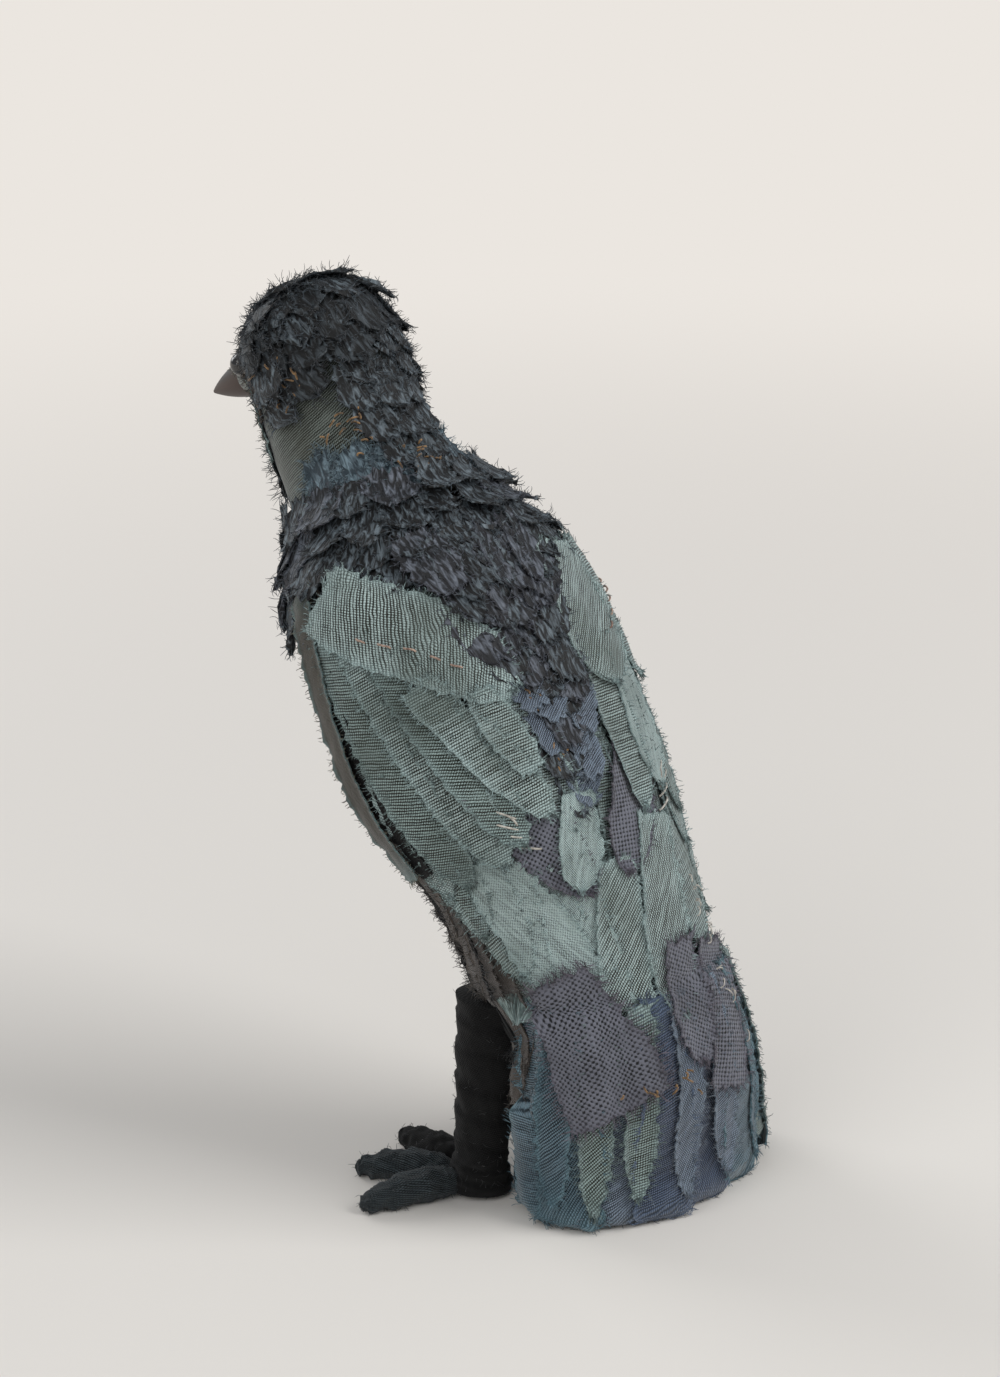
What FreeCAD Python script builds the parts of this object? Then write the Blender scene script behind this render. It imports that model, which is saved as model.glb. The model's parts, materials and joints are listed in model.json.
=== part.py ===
"""Stuffed cloth bird, hand-sewn from scraps, standing on two wrapped-wire legs and its tail.

Frame: +Z up, the beak points to -Y, the bird's left side is +X, millimetres.
The origin is on the ground under the middle of the bird.

Every layer of cloth follows one skin, a loft through the bird's stations from the face to the
ground. A station is a tilted ring across the body. A scrap of cloth is cut from a thin shell
round that skin by an outline, as it would be cut with scissors and laid on the stuffed body.
"""
import FreeCAD, Part
import os
import Sketcher

os.makedirs("parts", exist_ok=True)
doc = FreeCAD.newDocument("ClothBird")
Vector = FreeCAD.Vector

# ---------------------------------------------------------------- driving dimensions
# Each station: how far back its centre is, its height, the rise of its plane towards the
# back in degrees, and its half width; the trunk's stations have a half depth as well.
HEAD_STATIONS = {
    "face": (-74.0, 210.5, 84.0, 7.6),
    "lore": (-67.0, 216.0, 78.0, 12.0),
    "brow": (-59.0, 221.0, 68.0, 16.5),
    "poll": (-50.5, 222.0, 54.0, 20.0),
    "occiput": (-44.0, 216.0, 38.0, 21.2),
    "nape": (-37.5, 205.0, 26.0, 21.8),
    "throat": (-26.5, 190.5, 25.0, 23.4),
}
TRUNK_STATIONS = {
    "collar": (-13.0, 178.0, 26.0, 31.5, 23.6),
    "shoulder": (-2.1, 165.0, 26.5, 40.6, 28.6),
    "breast": (10.2, 150.0, 26.0, 43.8, 30.6),
    "girth": (22.0, 130.0, 25.0, 44.8, 31.3),
    "waist": (34.0, 110.0, 25.0, 43.0, 30.4),
    "rump": (45.0, 90.0, 24.0, 38.0, 27.4),
    "root": (52.0, 70.0, 22.0, 36.0, 26.0),
    "train": (58.0, 50.0, 17.0, 36.5, 26.4),
    "fan": (62.5, 28.0, 10.0, 37.5, 27.2),
    "hem": (65.5, 0.0, 0.0, 39.0, 27.4),
}

SIZES = {
    # the body's middle plane stands left of the origin, because the tail hangs to the right
    "middle": 3.0, "waist_sway": 2.0, "rump_sway": 6.0, "root_sway": 10.0,
    "train_sway": 13.0, "fan_sway": 16.0, "hem_sway": 17.5,
    # cloth
    "cover_cloth": 1.2, "seat_gap": 0.3, "cloth": 0.95, "layer_gap": 0.05, "edge_gap": 0.6,
    # the belly's rounded underside
    "belly_radius": 60.0, "belly_depth": 56.0,
    # beak
    "beak_turn": 114.0, "beak_root_back": -72.5, "beak_root_height": 210.0,
    "beak_root_wide": 6.0, "beak_root_deep": 6.6, "beak_mid_back": -83.0,
    "beak_mid_height": 205.4, "beak_mid_wide": 4.1, "beak_mid_deep": 4.7,
    "beak_fore_back": -90.0, "beak_fore_height": 202.6, "beak_fore_wide": 2.1,
    "beak_fore_deep": 2.5, "beak_tip_back": -94.2, "beak_tip_height": 200.8,
    "beak_tip_radius": 0.6, "peg_radius": 2.2, "peg_length": 14.0, "peg_overlap": 1.0,
    # eyes: glass beads on a shank, each in a rolled lid
    "eye_radius": 3.4, "eye_side": 11.6, "eye_back": -66.0, "eye_height": 214.5,
    "eye_turn": 32.0, "shank_radius": 0.7, "shank_length": 9.0,
    "lid_cloth": 0.9, "lid_height": 1.2, "lid_depth": 2.4,
    # head scraps
    "crown_height": 219.5, "nape_lean": 30.0, "nape_rise": 12.0, "nape_drop": 38.0,
    "nape_top_half": 17.0, "nape_low_half": 6.0,
    "tuft_turn": -62.0, "tuft_half": 5.0, "tuft_rise": 13.0, "tuft_drop": 3.0,
    # collar of frayed scraps
    "ruff_margin": 3.4, "ruff_rise": 23.0,
    # wing, measured from the middle of its hinge seam, across and down the body
    "hinge_round": 14.0, "back_slope": 31.0, "wing_long": 122.0, "wing_fore": 18.0,
    "wing_aft": 34.0, "wing_front_drop": 15.0, "wing_back_drop": 42.0, "wing_low_aft": 30.0,
    "wing_low_drop": 85.0, "wing_tip_aft": 15.0, "wing_tip_half": 7.0, "wing_outward": 20.0,
    "wing_inward": 44.0, "hem_margin": 1.0,
    "rim_wide": 4.2, "rim_mid_fore": 16.2, "rim_mid_drop": 55.0, "rim_foot_fore": 4.5,
    "rim_foot_drop": 84.0, "trim": 8.0, "shoulder_drop": 47.0, "feather_lean": 5.4,
    "covert_drop": 38.0, "covert_long": 37.0, "covert_half": 7.0, "covert_fore": -1.0,
    "covert_aft": 15.6, "covert_rise": 3.0, "hopsack_fore": 12.0, "hopsack_aft": 31.0,
    "hopsack_top": 78.0, "hopsack_slant": 6.0, "hopsack_foot": 108.0,
    # hinge seam: a rolled hem held to the shoulder by whip stitches
    "seam_radius": 1.2, "seam_half": 9.0, "seam_lift": 0.9, "seam_drop": 0.6,
    "stitch_radius": 1.9, "thread_radius": 0.4, "stitch_pitch": 3.0, "turning_gap": 0.3,
    # scraps on the back, breast and flanks, measured from the shoulder
    "spine_half": 36.0, "spine_drop": 60.0, "spine_tip_half": 3.5,
    "saddle_half": 8.0, "saddle_drop": 128.0, "saddle_low_right": 18.0, "saddle_low_left": 4.5,
    "breast_half": 24.0, "breast_low_half": 12.0, "breast_top": 2.0, "breast_drop": 84.0,
    "flank_turn": -37.0, "flank_half": 9.0, "flank_top": 50.0, "flank_drop": 92.0,
    # tail: a stuffed core with cloth blades sewn round it
    "tail_front": 54.0, "tail_left": 22.0, "tail_top": 96.0, "tail_floor": 2.5,
    "blade_first": 8.0, "blade_step": 21.0, "blade_rise": 30.0, "blade_top_half": 7.5,
    "blade_low_half": 9.0, "blade_corner": 5.0, "blade_reach": 15.0, "patch_turn": 62.0, "patch_half": 19.0,
    "patch_rise": 38.0, "patch_drop": 4.0,
    # legs and feet: wire wrapped with strips of cloth
    "hip_side": 16.0, "hip_back": 44.0, "hip_height": 62.0, "leg_side": 20.5, "leg_back": 42.0,
    "thigh_radius": 9.6, "calf_radius": 8.0, "shin_radius": 6.8, "pad_radius": 8.8,
    "calf_height": 36.0, "shin_height": 14.0, "pad_drop": 3.0, "wire_radius": 1.2,
    "wire_foot": 3.0, "wire_rise": 8.0, "knot_radius": 1.6,
    "foot_turn": 30.0, "toe_spread": 38.0, "toe_long": 35.0, "toe_start": 7.5,
    "toe_root_radius": 2.3, "toe_radius": 4.7, "toe_fore_radius": 4.0, "toe_tip_radius": 2.4,
    "toe_height": 3.8, "toe_tip_height": 2.3, "toe_swell": 17.0, "toe_fore": 27.0,
    "toe_wire_end": 6.0,
    # farther than any part of the bird
    "far": 200.0,
}

sheet = doc.addObject("Spreadsheet::Sheet", "Dims")
row = 0


def put(alias, value):
    """One plain number in the sheet, under a word that the model's expressions use."""
    global row
    row += 1
    sheet.set(f"A{row}", alias)
    sheet.set(f"B{row}", str(value))
    sheet.setAlias(f"B{row}", alias)


for station, (back, height, tilt, wide) in HEAD_STATIONS.items():
    put(f"{station}_back", back)
    put(f"{station}_height", height)
    put(f"{station}_tilt", tilt)
    put(f"{station}_wide", wide)
for station, (back, height, tilt, wide, deep) in TRUNK_STATIONS.items():
    put(f"{station}_back", back)
    put(f"{station}_height", height)
    put(f"{station}_tilt", tilt)
    put(f"{station}_wide", wide)
    put(f"{station}_deep", deep)
for alias, value in SIZES.items():
    put(alias, value)
doc.recompute()

ALIASES = sorted([sheet.getAlias(f"B{i}") for i in range(1, row + 1)], key=len, reverse=True)


def ex(text):
    """Points the words of an expression at the sheet."""
    words, word = [], ""
    for letter in text + " ":
        if letter.isalnum() or letter == "_":
            word += letter
            continue
        words.append(f"Dims.{word}" if word in ALIASES else word)
        words.append(letter)
        word = ""
    return "".join(words).strip()


def bind(thing, **sizes):
    """Binds an object's sizes to the sheet."""
    for name, text in sizes.items():
        thing.setExpression(name, ex(text))
    return thing


def turned(turns):
    """Expression of a rotation; turns are (axis, angle) pairs, the outermost first."""
    steps = [f"rotation(vector({axis}); {ex(angle)})" for axis, angle in turns]
    return " * ".join(steps) or "rotation(vector(0;0;1); 0)"


def place(thing, frame, shift=("0", "0", "0"), turns=()):
    """Places an object in a frame (side, back, height, turns), shifted and turned within it."""
    side, back, height, frame_turns = frame
    outer = f"placement(vector({ex(side)}; {ex(back)}; {ex(height)}); {turned(frame_turns)})"
    inner = f"placement(vector({ex(shift[0])}; {ex(shift[1])}; {ex(shift[2])}); {turned(turns)})"
    thing.setExpression("Placement", f"{outer} * {inner}")
    return thing


X_AXIS, Y_AXIS, Z_AXIS, TO_SIDE = "1;0;0", "0;1;0", "0;0;1", "1;1;1"
SIDES = {"left": 1, "right": -1}


def boolean(kind, name, base, tools):
    """Part boolean of a base and a list of tools: kind is Cut, Fuse or Common."""
    if kind != "Cut":
        result = doc.addObject(f"Part::Multi{kind}", name)
        result.Shapes = [base] + list(tools)
        return result
    for number, tool in enumerate(tools):
        result = doc.addObject("Part::Cut", f"{name}_{number}")
        result.Base, result.Tool = base, tool
        base = result
    return base


# ---------------------------------------------------------------- frames on the body
def middle(station):
    """How far left the body's middle is at a station."""
    return f"(middle - {station}_sway)" if f"{station}_sway" in SIZES else "middle"


def level(station):
    """Frame of a station's ring: X to the left, Y back along the ring, Z up the body."""
    return (middle(station), f"{station}_back", f"{station}_height",
            [(X_AXIS, f"{station}_tilt")])


def facing(station, turn, tilt=None):
    """Frame in the body's middle that looks out: turn 0 to the left, 90 to the back.

    Its X runs across the body, Y up the body and Z outwards.
    """
    return (middle(station), f"{station}_back", f"{station}_height",
            [(X_AXIS, tilt or f"{station}_tilt"), (Z_AXIS, turn), (TO_SIDE, "120")])


def on_ring(station, angle, side=1, lift="0", slope=None):
    """Frame on the skin at a station: X across, Y up the body and Z out of the skin.

    angle runs round the ring from the side, 0, to the back, 90; slope is how far the frame
    leans forward, where that isn't the ring's own tilt.
    """
    wide, deep, tilt = f"{station}_wide", f"{station}_deep", f"{station}_tilt"
    normal = f"atan2({wide} * sin({angle}); {deep} * cos({angle}))"
    out = f"({wide} * cos({angle}) + ({lift}) * cos({normal}))"
    along = f"({deep} * sin({angle}) + ({lift}) * sin({normal}))"
    turn = normal if side > 0 else f"180 deg - {normal}"
    return (f"{middle(station)} + {side} * {out}",
            f"{station}_back + {along} * cos({tilt})",
            f"{station}_height + {along} * sin({tilt})",
            [(X_AXIS, slope or tilt), (Z_AXIS, turn), (TO_SIDE, "120")])


# ---------------------------------------------------------------- the skin and its shells
skins = {}


def start_in_front(ring):
    """Starts a closed ring at the body's front, so the skin's seam runs down the breast."""
    ring.Angle1 = ring.Angle2 = 270
    return ring


def skin(offset):
    """The solid inside the skin, grown by an offset that is an expression."""
    if offset in skins:
        return skins[offset]
    rings = []
    number = len(skins)
    for station in HEAD_STATIONS:
        ring = bind(doc.addObject("Part::Circle", f"{station}_ring{number}"),
                    Radius=f"{station}_wide + {offset}")
        rings.append(start_in_front(place(ring, level(station))))
    for station in TRUNK_STATIONS:
        ring = bind(doc.addObject("Part::Ellipse", f"{station}_ring{number}"),
                    MajorRadius=f"{station}_wide + {offset}",
                    MinorRadius=f"{station}_deep + {offset}")
        rings.append(start_in_front(place(ring, level(station))))
    loft = doc.addObject("Part::Loft", f"skin{number}")
    loft.Sections, loft.Solid, loft.Ruled = rings, True, False
    skins[offset] = loft
    return loft


def layer_bottom(layer):
    return f"(seat_gap + {layer} * (cloth + layer_gap))"


shells = {}


def shell(first, last=None):
    """The room for cloth between the underside of layer first and the top of layer last."""
    last = first if last is None else last
    if (first, last) not in shells:
        outer = skin(f"{layer_bottom(last)} + cloth")
        inner = skin(layer_bottom(first))
        shells[first, last] = boolean("Cut", f"shell_{first}_{last}", outer, [inner])
    return shells[first, last]


def sheet_value(text):
    """The present value of an expression, as a sketch's first guess."""
    value = sheet.evalExpression(ex(text))
    return float(getattr(value, "Value", value))


def outline(name, points, frame):
    """A closed sketch whose corners are (across, up) expressions in a frame's plane."""
    sketch = doc.addObject("Sketcher::SketchObject", f"{name}_outline")
    guesses = [Vector(sheet_value(x), sheet_value(y), 0) for x, y in points]
    for start, end in zip(guesses, guesses[1:] + guesses[:1]):
        sketch.addGeometry(Part.LineSegment(start, end), False)
    for i in range(len(points)):
        sketch.addConstraint(Sketcher.Constraint("Coincident", i, 2, (i + 1) % len(points), 1))
    for i, (point, guess) in enumerate(zip(points, guesses)):
        for kind, text, value in (("DistanceX", point[0], guess.x), ("DistanceY", point[1], guess.y)):
            index = sketch.addConstraint(Sketcher.Constraint(kind, -1, 1, i, 1, value))
            sketch.setExpression(f"Constraints[{index}]", ex(text))
    return place(sketch, frame)


def prism(name, profile, outward, inward):
    """A prism over a closed sketch, reaching out of its plane and back into it."""
    solid = doc.addObject("Part::Extrusion", f"{name}_prism")
    solid.Base, solid.DirMode, solid.Solid = profile, "Normal", True
    return bind(solid, LengthFwd=outward, LengthRev=inward)


def block(name, frame, across, up, out):
    """A box in a frame; across, up and out are (low, high) expressions."""
    box = doc.addObject("Part::Box", name)
    bind(box, Length=f"({across[1]}) - ({across[0]})", Width=f"({up[1]}) - ({up[0]})",
         Height=f"({out[1]}) - ({out[0]})")
    return place(box, frame, (across[0], up[0], out[0]))


def rod(name, frame, radius, length, shift=("0", "0", "0"), turns=()):
    """A cylinder along a frame's Z, or along another axis through turns."""
    cylinder = bind(doc.addObject("Part::Cylinder", name), Radius=radius, Height=length)
    return place(cylinder, frame, shift, turns)


parts = []


def finish(thing, label, cuts=()):
    """Names a finished piece, after cutting room for its neighbours."""
    if cuts:
        thing = boolean("Cut", f"{label}_cut", thing, list(cuts))
    thing.Label = label
    parts.append(thing)
    return thing


WORLD = ("0", "0", "0", ())
ALL_ROUND = ("-far", "far")

# ---------------------------------------------------------------- body, neck and head
above_collar = block("above_collar", facing("collar", "90"), ALL_ROUND, ("0", "far"), ALL_ROUND)


def belly(name, grow):
    """Mould of the trunk: straight from the waist up, rounded under the belly."""
    upper = bind(doc.addObject("Part::Cylinder", f"{name}_upper"), Radius=f"belly_radius + {grow}",
                 Height="far")
    lower = bind(doc.addObject("Part::Ellipsoid", f"{name}_lower"), Radius1=f"belly_depth + {grow}",
                 Radius2=f"belly_radius + {grow}", Radius3=f"belly_radius + {grow}")
    return boolean("Fuse", name, place(upper, level("waist")), [place(lower, level("waist"))])


def trunk(name, offset):
    """The trunk below the collar, with its rounded belly."""
    whole = boolean("Common", f"{name}_whole", skin(offset), [belly(f"{name}_belly", offset)])
    return boolean("Cut", name, whole, [above_collar])


trunk_form = trunk("trunk_form", "0")
trunk_inside = trunk("trunk_inside", "-cover_cloth")
head_form = boolean("Common", "head_form", skin("0"), [above_collar])
head_inside = boolean("Common", "head_inside", skin("-cover_cloth"), [above_collar])
ground = block("ground", WORLD, ALL_ROUND, ALL_ROUND, ("-far", "0"))


def beak():
    """Slightly curved beak on a peg that goes into the head's stuffing."""
    rings = []
    for place_name in ("root", "mid", "fore"):
        ring = bind(doc.addObject("Part::Ellipse", f"beak_{place_name}_ring"),
                    MajorRadius=f"beak_{place_name}_deep", MinorRadius=f"beak_{place_name}_wide")
        frame = ("middle", f"beak_{place_name}_back", f"beak_{place_name}_height",
                 [(X_AXIS, "beak_turn")])
        rings.append(place(ring, frame, turns=[(Z_AXIS, "90")]))
    tip = bind(doc.addObject("Part::Circle", "beak_tip_ring"), Radius="beak_tip_radius")
    frame = ("middle", "beak_tip_back", "beak_tip_height", [(X_AXIS, "beak_turn")])
    rings.append(place(tip, frame, turns=[(Z_AXIS, "90")]))
    horn = doc.addObject("Part::Loft", "beak_horn")
    horn.Sections, horn.Solid, horn.Ruled = rings, True, False
    root = ("middle", "beak_root_back", "beak_root_height", [(X_AXIS, "beak_turn")])
    peg = rod("beak_peg", root, "peg_radius", "peg_length + peg_overlap",
              ("0", "0", "-peg_length"))
    return boolean("Fuse", "beak_whole", horn, [peg])


def eye_frame(side):
    """Frame at a bead's centre, with Z out of the eye."""
    return (f"middle + {side} * eye_side", "eye_back", "eye_height",
            [(Z_AXIS, f"{-side} * eye_turn"), (Y_AXIS, f"{side} * 90")])


def eye(name, side):
    """Glass bead with its wire shank."""
    bead = bind(doc.addObject("Part::Sphere", f"{name}_bead"), Radius="eye_radius")
    shank = rod(f"{name}_shank", eye_frame(side), "shank_radius", "shank_length",
                ("0", "0", "-shank_length"))
    return boolean("Fuse", f"{name}_whole", place(bead, eye_frame(side)), [shank])


def eyelid(name, side, bead):
    """Folded ring of cloth round the bead."""
    ring = rod(f"{name}_ring", eye_frame(side), "eye_radius + lid_cloth",
               "lid_height + lid_depth", ("0", "0", "-lid_depth"))
    return boolean("Cut", f"{name}_whole", ring, [bead])


horn = beak()
eyes = {word: eye(f"{word}_eye", side) for word, side in SIDES.items()}
lids = {word: eyelid(f"{word}_eyelid", side, eyes[word]) for word, side in SIDES.items()}
face_fittings = [horn] + list(eyes.values()) + list(lids.values())

# ---------------------------------------------------------------- legs and feet
TOES = {"inner": -1, "middle": 0, "outer": 1}


def leg_frame(side):
    """Frame at a leg's foot on the ground, with Z up the leg to the hip."""
    return (f"middle + {side} * leg_side", "leg_back", "0",
            [(Y_AXIS, f"{-side} * atan((leg_side - hip_side) / hip_height)"),
             (X_AXIS, "-atan((hip_back - leg_back) / hip_height)")])


def toe_frame(side, number):
    """Frame at a foot's middle on the ground, with X along a toe."""
    return (f"middle + {side} * leg_side", "leg_back", "0",
            [(Z_AXIS, f"{side} * (foot_turn + {number} * toe_spread) - 90")])


def circles(name, frame, stops):
    """Loft through circles: stops are (radius, shift, turns)."""
    rings = []
    for i, (radius, shift, turns) in enumerate(stops):
        ring = bind(doc.addObject("Part::Circle", f"{name}_ring{i}"), Radius=radius)
        rings.append(place(ring, frame, shift, turns))
    loft = doc.addObject("Part::Loft", f"{name}_loft")
    loft.Sections, loft.Solid, loft.Ruled = rings, True, False
    return loft


def armature(name, side):
    """One wire for the leg and its toes, bent up from the middle of the foot."""
    leg = rod(f"{name}_leg", leg_frame(side), "wire_radius", "hip_height + wire_rise - wire_foot",
              ("0", "0", "wire_foot"))
    knot = bind(doc.addObject("Part::Sphere", f"{name}_knot"), Radius="knot_radius")
    place(knot, leg_frame(side), ("0", "0", "wire_foot"))
    wires = [knot]
    for toe, number in TOES.items():
        wires.append(rod(f"{name}_{toe}", toe_frame(side, number), "wire_radius",
                         "toe_long - toe_wire_end", ("0", "0", "wire_foot"), [(Y_AXIS, "90")]))
    return boolean("Fuse", name, leg, wires)


def leg_wrap(name, side, wire):
    """Strips of cloth wound round the leg, wide at the thigh and over the foot's middle."""
    stops = [("pad_radius", ("0", "0", "-pad_drop"), ()), ("shin_radius", ("0", "0", "shin_height"), ()),
             ("calf_radius", ("0", "0", "calf_height"), ()),
             ("thigh_radius", ("0", "0", "hip_height"), ())]
    return boolean("Cut", f"{name}_whole", circles(name, leg_frame(side), stops),
                   [trunk_form, ground, wire])


def toe(name, side, number, wire, leg):
    """A toe of wound cloth on its wire, with a flat underside."""
    along = [("toe_root_radius", "toe_start", "toe_height"), ("toe_radius", "toe_swell", "toe_height"),
             ("toe_fore_radius", "toe_fore", "toe_height"),
             ("toe_tip_radius", "toe_long", "toe_tip_height")]
    stops = [(radius, (reach, "0", height), [(Y_AXIS, "90")]) for radius, reach, height in along]
    return boolean("Cut", f"{name}_whole", circles(name, toe_frame(side, number), stops),
                   [ground, wire, leg])


wires = {word: armature(f"{word}_leg_wire", side) for word, side in SIDES.items()}


# ---------------------------------------------------------------- wings
def seam_frame(side):
    """Frame at the middle of a wing's hinge seam: X along the seam, Y up the body, Z out."""
    return on_ring("shoulder", "hinge_round", side, "seam_lift", "back_slope")


def seam_rod(name, side, radius, half):
    return rod(name, seam_frame(side), radius, f"2 * ({half})", (f"-({half})", "0", "0"),
               [(Y_AXIS, "90")])


STITCHES = 4


def whip_stitches(name, side, thread):
    """Loops of thread round the seam, through the shoulder's cloth."""
    loops = []
    for i in range(STITCHES):
        start = (f"({i} - {(STITCHES - 1) / 2}) * stitch_pitch - ({thread})", "0", "0")
        outer = rod(f"{name}_{i}_outer", seam_frame(side), f"stitch_radius + {thread}",
                    f"2 * ({thread})", start, [(Y_AXIS, "90")])
        inner = rod(f"{name}_{i}_inner", seam_frame(side), f"stitch_radius - ({thread})",
                    f"2 * ({thread})", start, [(Y_AXIS, "90")])
        loops.append(boolean("Cut", f"{name}_{i}", outer, [inner]))
    return boolean("Fuse", name, loops[0], loops[1:])


def mirrored(points, side):
    """Corners of an outline drawn for the left side, as (across, up) expressions."""
    return [(f"{side} * ({across})", up) for across, up in points]


WING_FRONT = [("-rim_foot_fore", "-rim_foot_drop"), ("-rim_mid_fore", "-rim_mid_drop"),
              ("-wing_fore", "-wing_front_drop")]
WING = [("hem_margin - seam_half", "-seam_drop"), ("seam_half - hem_margin", "-seam_drop"),
        ("wing_aft", "-wing_back_drop"), ("wing_low_aft", "-wing_low_drop"),
        ("wing_tip_aft + wing_tip_half", "-wing_long"),
        ("wing_tip_aft - wing_tip_half", "-wing_long")] + WING_FRONT
# the scraps' outlines pass the wing's edge by the trim, and the wing's own outline cuts them
RIM = ([(f"{across} - trim", up) for across, up in WING_FRONT]
       + [(f"{across} + rim_wide", up) for across, up in reversed(WING_FRONT)])
SHOULDER = [("-wing_fore - trim", "-ruff_margin"), ("wing_aft + trim", "-ruff_margin"),
            ("wing_aft + trim", "-shoulder_drop"), ("-wing_fore - trim", "-shoulder_drop")]
HOPSACK = [("hopsack_fore", "-hopsack_top"), ("hopsack_aft", "hopsack_slant - hopsack_top"),
           ("hopsack_aft", "hopsack_slant - hopsack_foot"),
           ("hopsack_fore + hopsack_slant", "-hopsack_foot")]
# a leaf's corners, as shares of a covert's half width and of its length
LEAF = [(0.0, 0.0), (1.0, 0.2), (1.4, 0.7), (1.0, 1.0), (-0.2, 0.75), (-0.8, 0.2)]


def long_feather(start, end):
    """Outline of a long feather that leans back as it goes down; shares of the wing's width."""
    top, foot = "-shoulder_drop - edge_gap", "-wing_long - trim"
    fore = f"{start} * (wing_fore + wing_aft) - wing_fore"
    aft = f"{end} * (wing_fore + wing_aft) - wing_fore - edge_gap"
    return [(fore, top), (aft, top), (f"{aft} + feather_lean", foot),
            (f"{fore} + 2 * feather_lean", foot)]


def covert(across, top):
    """Outline of a short leaf-shaped feather that leans back."""
    return [(f"{across} + {wide} * covert_half", f"{top} - {deep} * covert_long")
            for wide, deep in LEAF]


# label, outline and layer of each scrap on a wing; a scrap lies on the layer below it
WING_SCRAPS = [
    ("rim", RIM, 2), ("shoulder_patch", SHOULDER, 1),
    ("long_feather_front", long_feather(-0.2, 0.33), 1),
    ("long_feather_middle", long_feather(0.33, 0.62), 1),
    ("long_feather_rear", long_feather(0.62, 1.2), 1),
    ("covert_front", covert("covert_fore", "-covert_drop"), 2),
    ("covert_rear", covert("covert_aft", "covert_rise - covert_drop"), 2),
    ("hopsack_patch", HOPSACK, 2),
]


def wing_prism(name, side, points):
    """Prism over an outline of the wing, from inside the body's side to well outside it."""
    profile = outline(name, mirrored(points, side), seam_frame(side))
    return prism(name, profile, "wing_outward", "wing_inward")


keep_outs, stitches, seats = {}, {}, []
wing_prisms = {}
for word, side in SIDES.items():
    wing_prisms[word] = wing_prism(f"{word}_wing", side, WING)
    wider = doc.addObject("Part::Offset2D", f"{word}_wing_wider")
    wider.Source = wing_prisms[word].Base
    keep_outs[word] = prism(f"{word}_keep_out", bind(wider, Value="edge_gap"),
                            "wing_outward", "wing_inward")
    stitches[word] = whip_stitches(f"{word}_stitch", side, "thread_radius")
    seats.append(seam_rod(f"{word}_seat", side, "seam_radius + turning_gap",
                          "seam_half + turning_gap"))


def wing(word, side):
    """Cloth panel with its rolled hem, and the scraps sewn on it."""
    cloth = boolean("Common", f"{word}_panel_cloth", shell(0), [wing_prisms[word]])
    loose = whip_stitches(f"{word}_stitch_room", side, "thread_radius + turning_gap")
    cloth = boolean("Cut", f"{word}_panel_notched", cloth, [loose])
    seam = seam_rod(f"{word}_seam", side, "seam_radius", "seam_half")
    finish(boolean("Fuse", f"{word}_panel_whole", seam, [cloth]), f"{word}_wing_panel")
    for label, points, layer in WING_SCRAPS:
        name = f"{word}_{label}"
        cut_out = wing_prism(name, side, points)
        scrap = boolean("Common", f"{name}_cloth", shell(layer), [cut_out, wing_prisms[word]])
        finish(scrap, name)


# ---------------------------------------------------------------- scraps sewn to the body
def scrap(label, layers, frame, points, cuts=(), outward="far", inward="0"):
    """A scrap of cloth cut by an outline from the given layers."""
    room = prism(label, outline(label, points, frame), outward, inward)
    return finish(boolean("Common", f"{label}_cloth", shell(*layers), [room]), label, cuts)


def symmetric(points):
    """Corners for both halves of an outline whose right half is given from the top down."""
    return points + [(f"-({across})", up) for across, up in reversed(points)]


back = facing("shoulder", "90", "back_slope")
front = facing("shoulder", "-90", "back_slope")
ruff_room = block("ruff_room", back, ALL_ROUND, ("ruff_margin", "ruff_rise"), ALL_ROUND)
crown_room = block("crown_room", WORLD, ALL_ROUND, ALL_ROUND, ("crown_height", "2 * crown_height"))

trunk_cuts = list(stitches.values()) + seats + list(wires.values())
finish(trunk_inside, "body_stuffing", trunk_cuts)
finish(boolean("Cut", "cover_shell", trunk_form, [trunk_inside]), "body_cover", trunk_cuts)
finish(head_inside, "head_stuffing", face_fittings)
finish(boolean("Cut", "neck_shell", head_form, [head_inside]), "neck_cover", face_fittings)
finish(horn, "beak")
for word, side in SIDES.items():
    finish(eyes[word], f"{word}_eye")
    finish(lids[word], f"{word}_eyelid")
    finish(stitches[word], f"{word}_wing_stitches")
    wing(word, side)
    leg = finish(leg_wrap(f"{word}_leg_wrap", side, wires[word]), f"{word}_leg_wrap")
    finish(wires[word], f"{word}_leg_wire")
    for toe_word, number in TOES.items():
        name = f"{word}_{toe_word}_toe"
        finish(toe(name, side, number, wires[word], leg), name)
    flank = facing("shoulder", f"90 - {side} * (90 - flank_turn)", "back_slope")
    scrap(f"{word}_flank_patch", (0,), flank,
          [("-flank_half", "-flank_top"), ("flank_half", "-flank_top"),
           ("flank_half", "-flank_drop"), ("-flank_half", "-flank_drop")], [keep_outs[word]])

finish(boolean("Common", "crown_cloth", shell(0, 1), [crown_room]), "crown_cap", face_fittings)
scrap("nape_patch", (0,), facing("nape", "90", "nape_lean"),
      symmetric([("nape_top_half", "nape_rise"), ("nape_low_half", "-nape_drop")]),
      [crown_room, ruff_room])
scrap("chin_tuft", (0,), facing("throat", "tuft_turn"),
      [("-tuft_half", "tuft_rise"), ("tuft_half", "tuft_rise"), ("0", "-tuft_drop")])
finish(boolean("Common", "ruff_cloth", shell(0, 1), [ruff_room]), "mantle_ruff")
scrap("spine_patch", (0, 1), back,
      symmetric([("spine_half", "ruff_margin"), ("spine_tip_half", "-spine_drop")]),
      keep_outs.values())
scrap("saddle_patch", (0,), back,
      [("saddle_half", "-spine_drop - edge_gap"), ("saddle_low_right", "-saddle_drop"),
       ("-saddle_low_left", "-saddle_drop"), ("-saddle_half", "-spine_drop - edge_gap")],
      [keep_outs["right"]])
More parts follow.
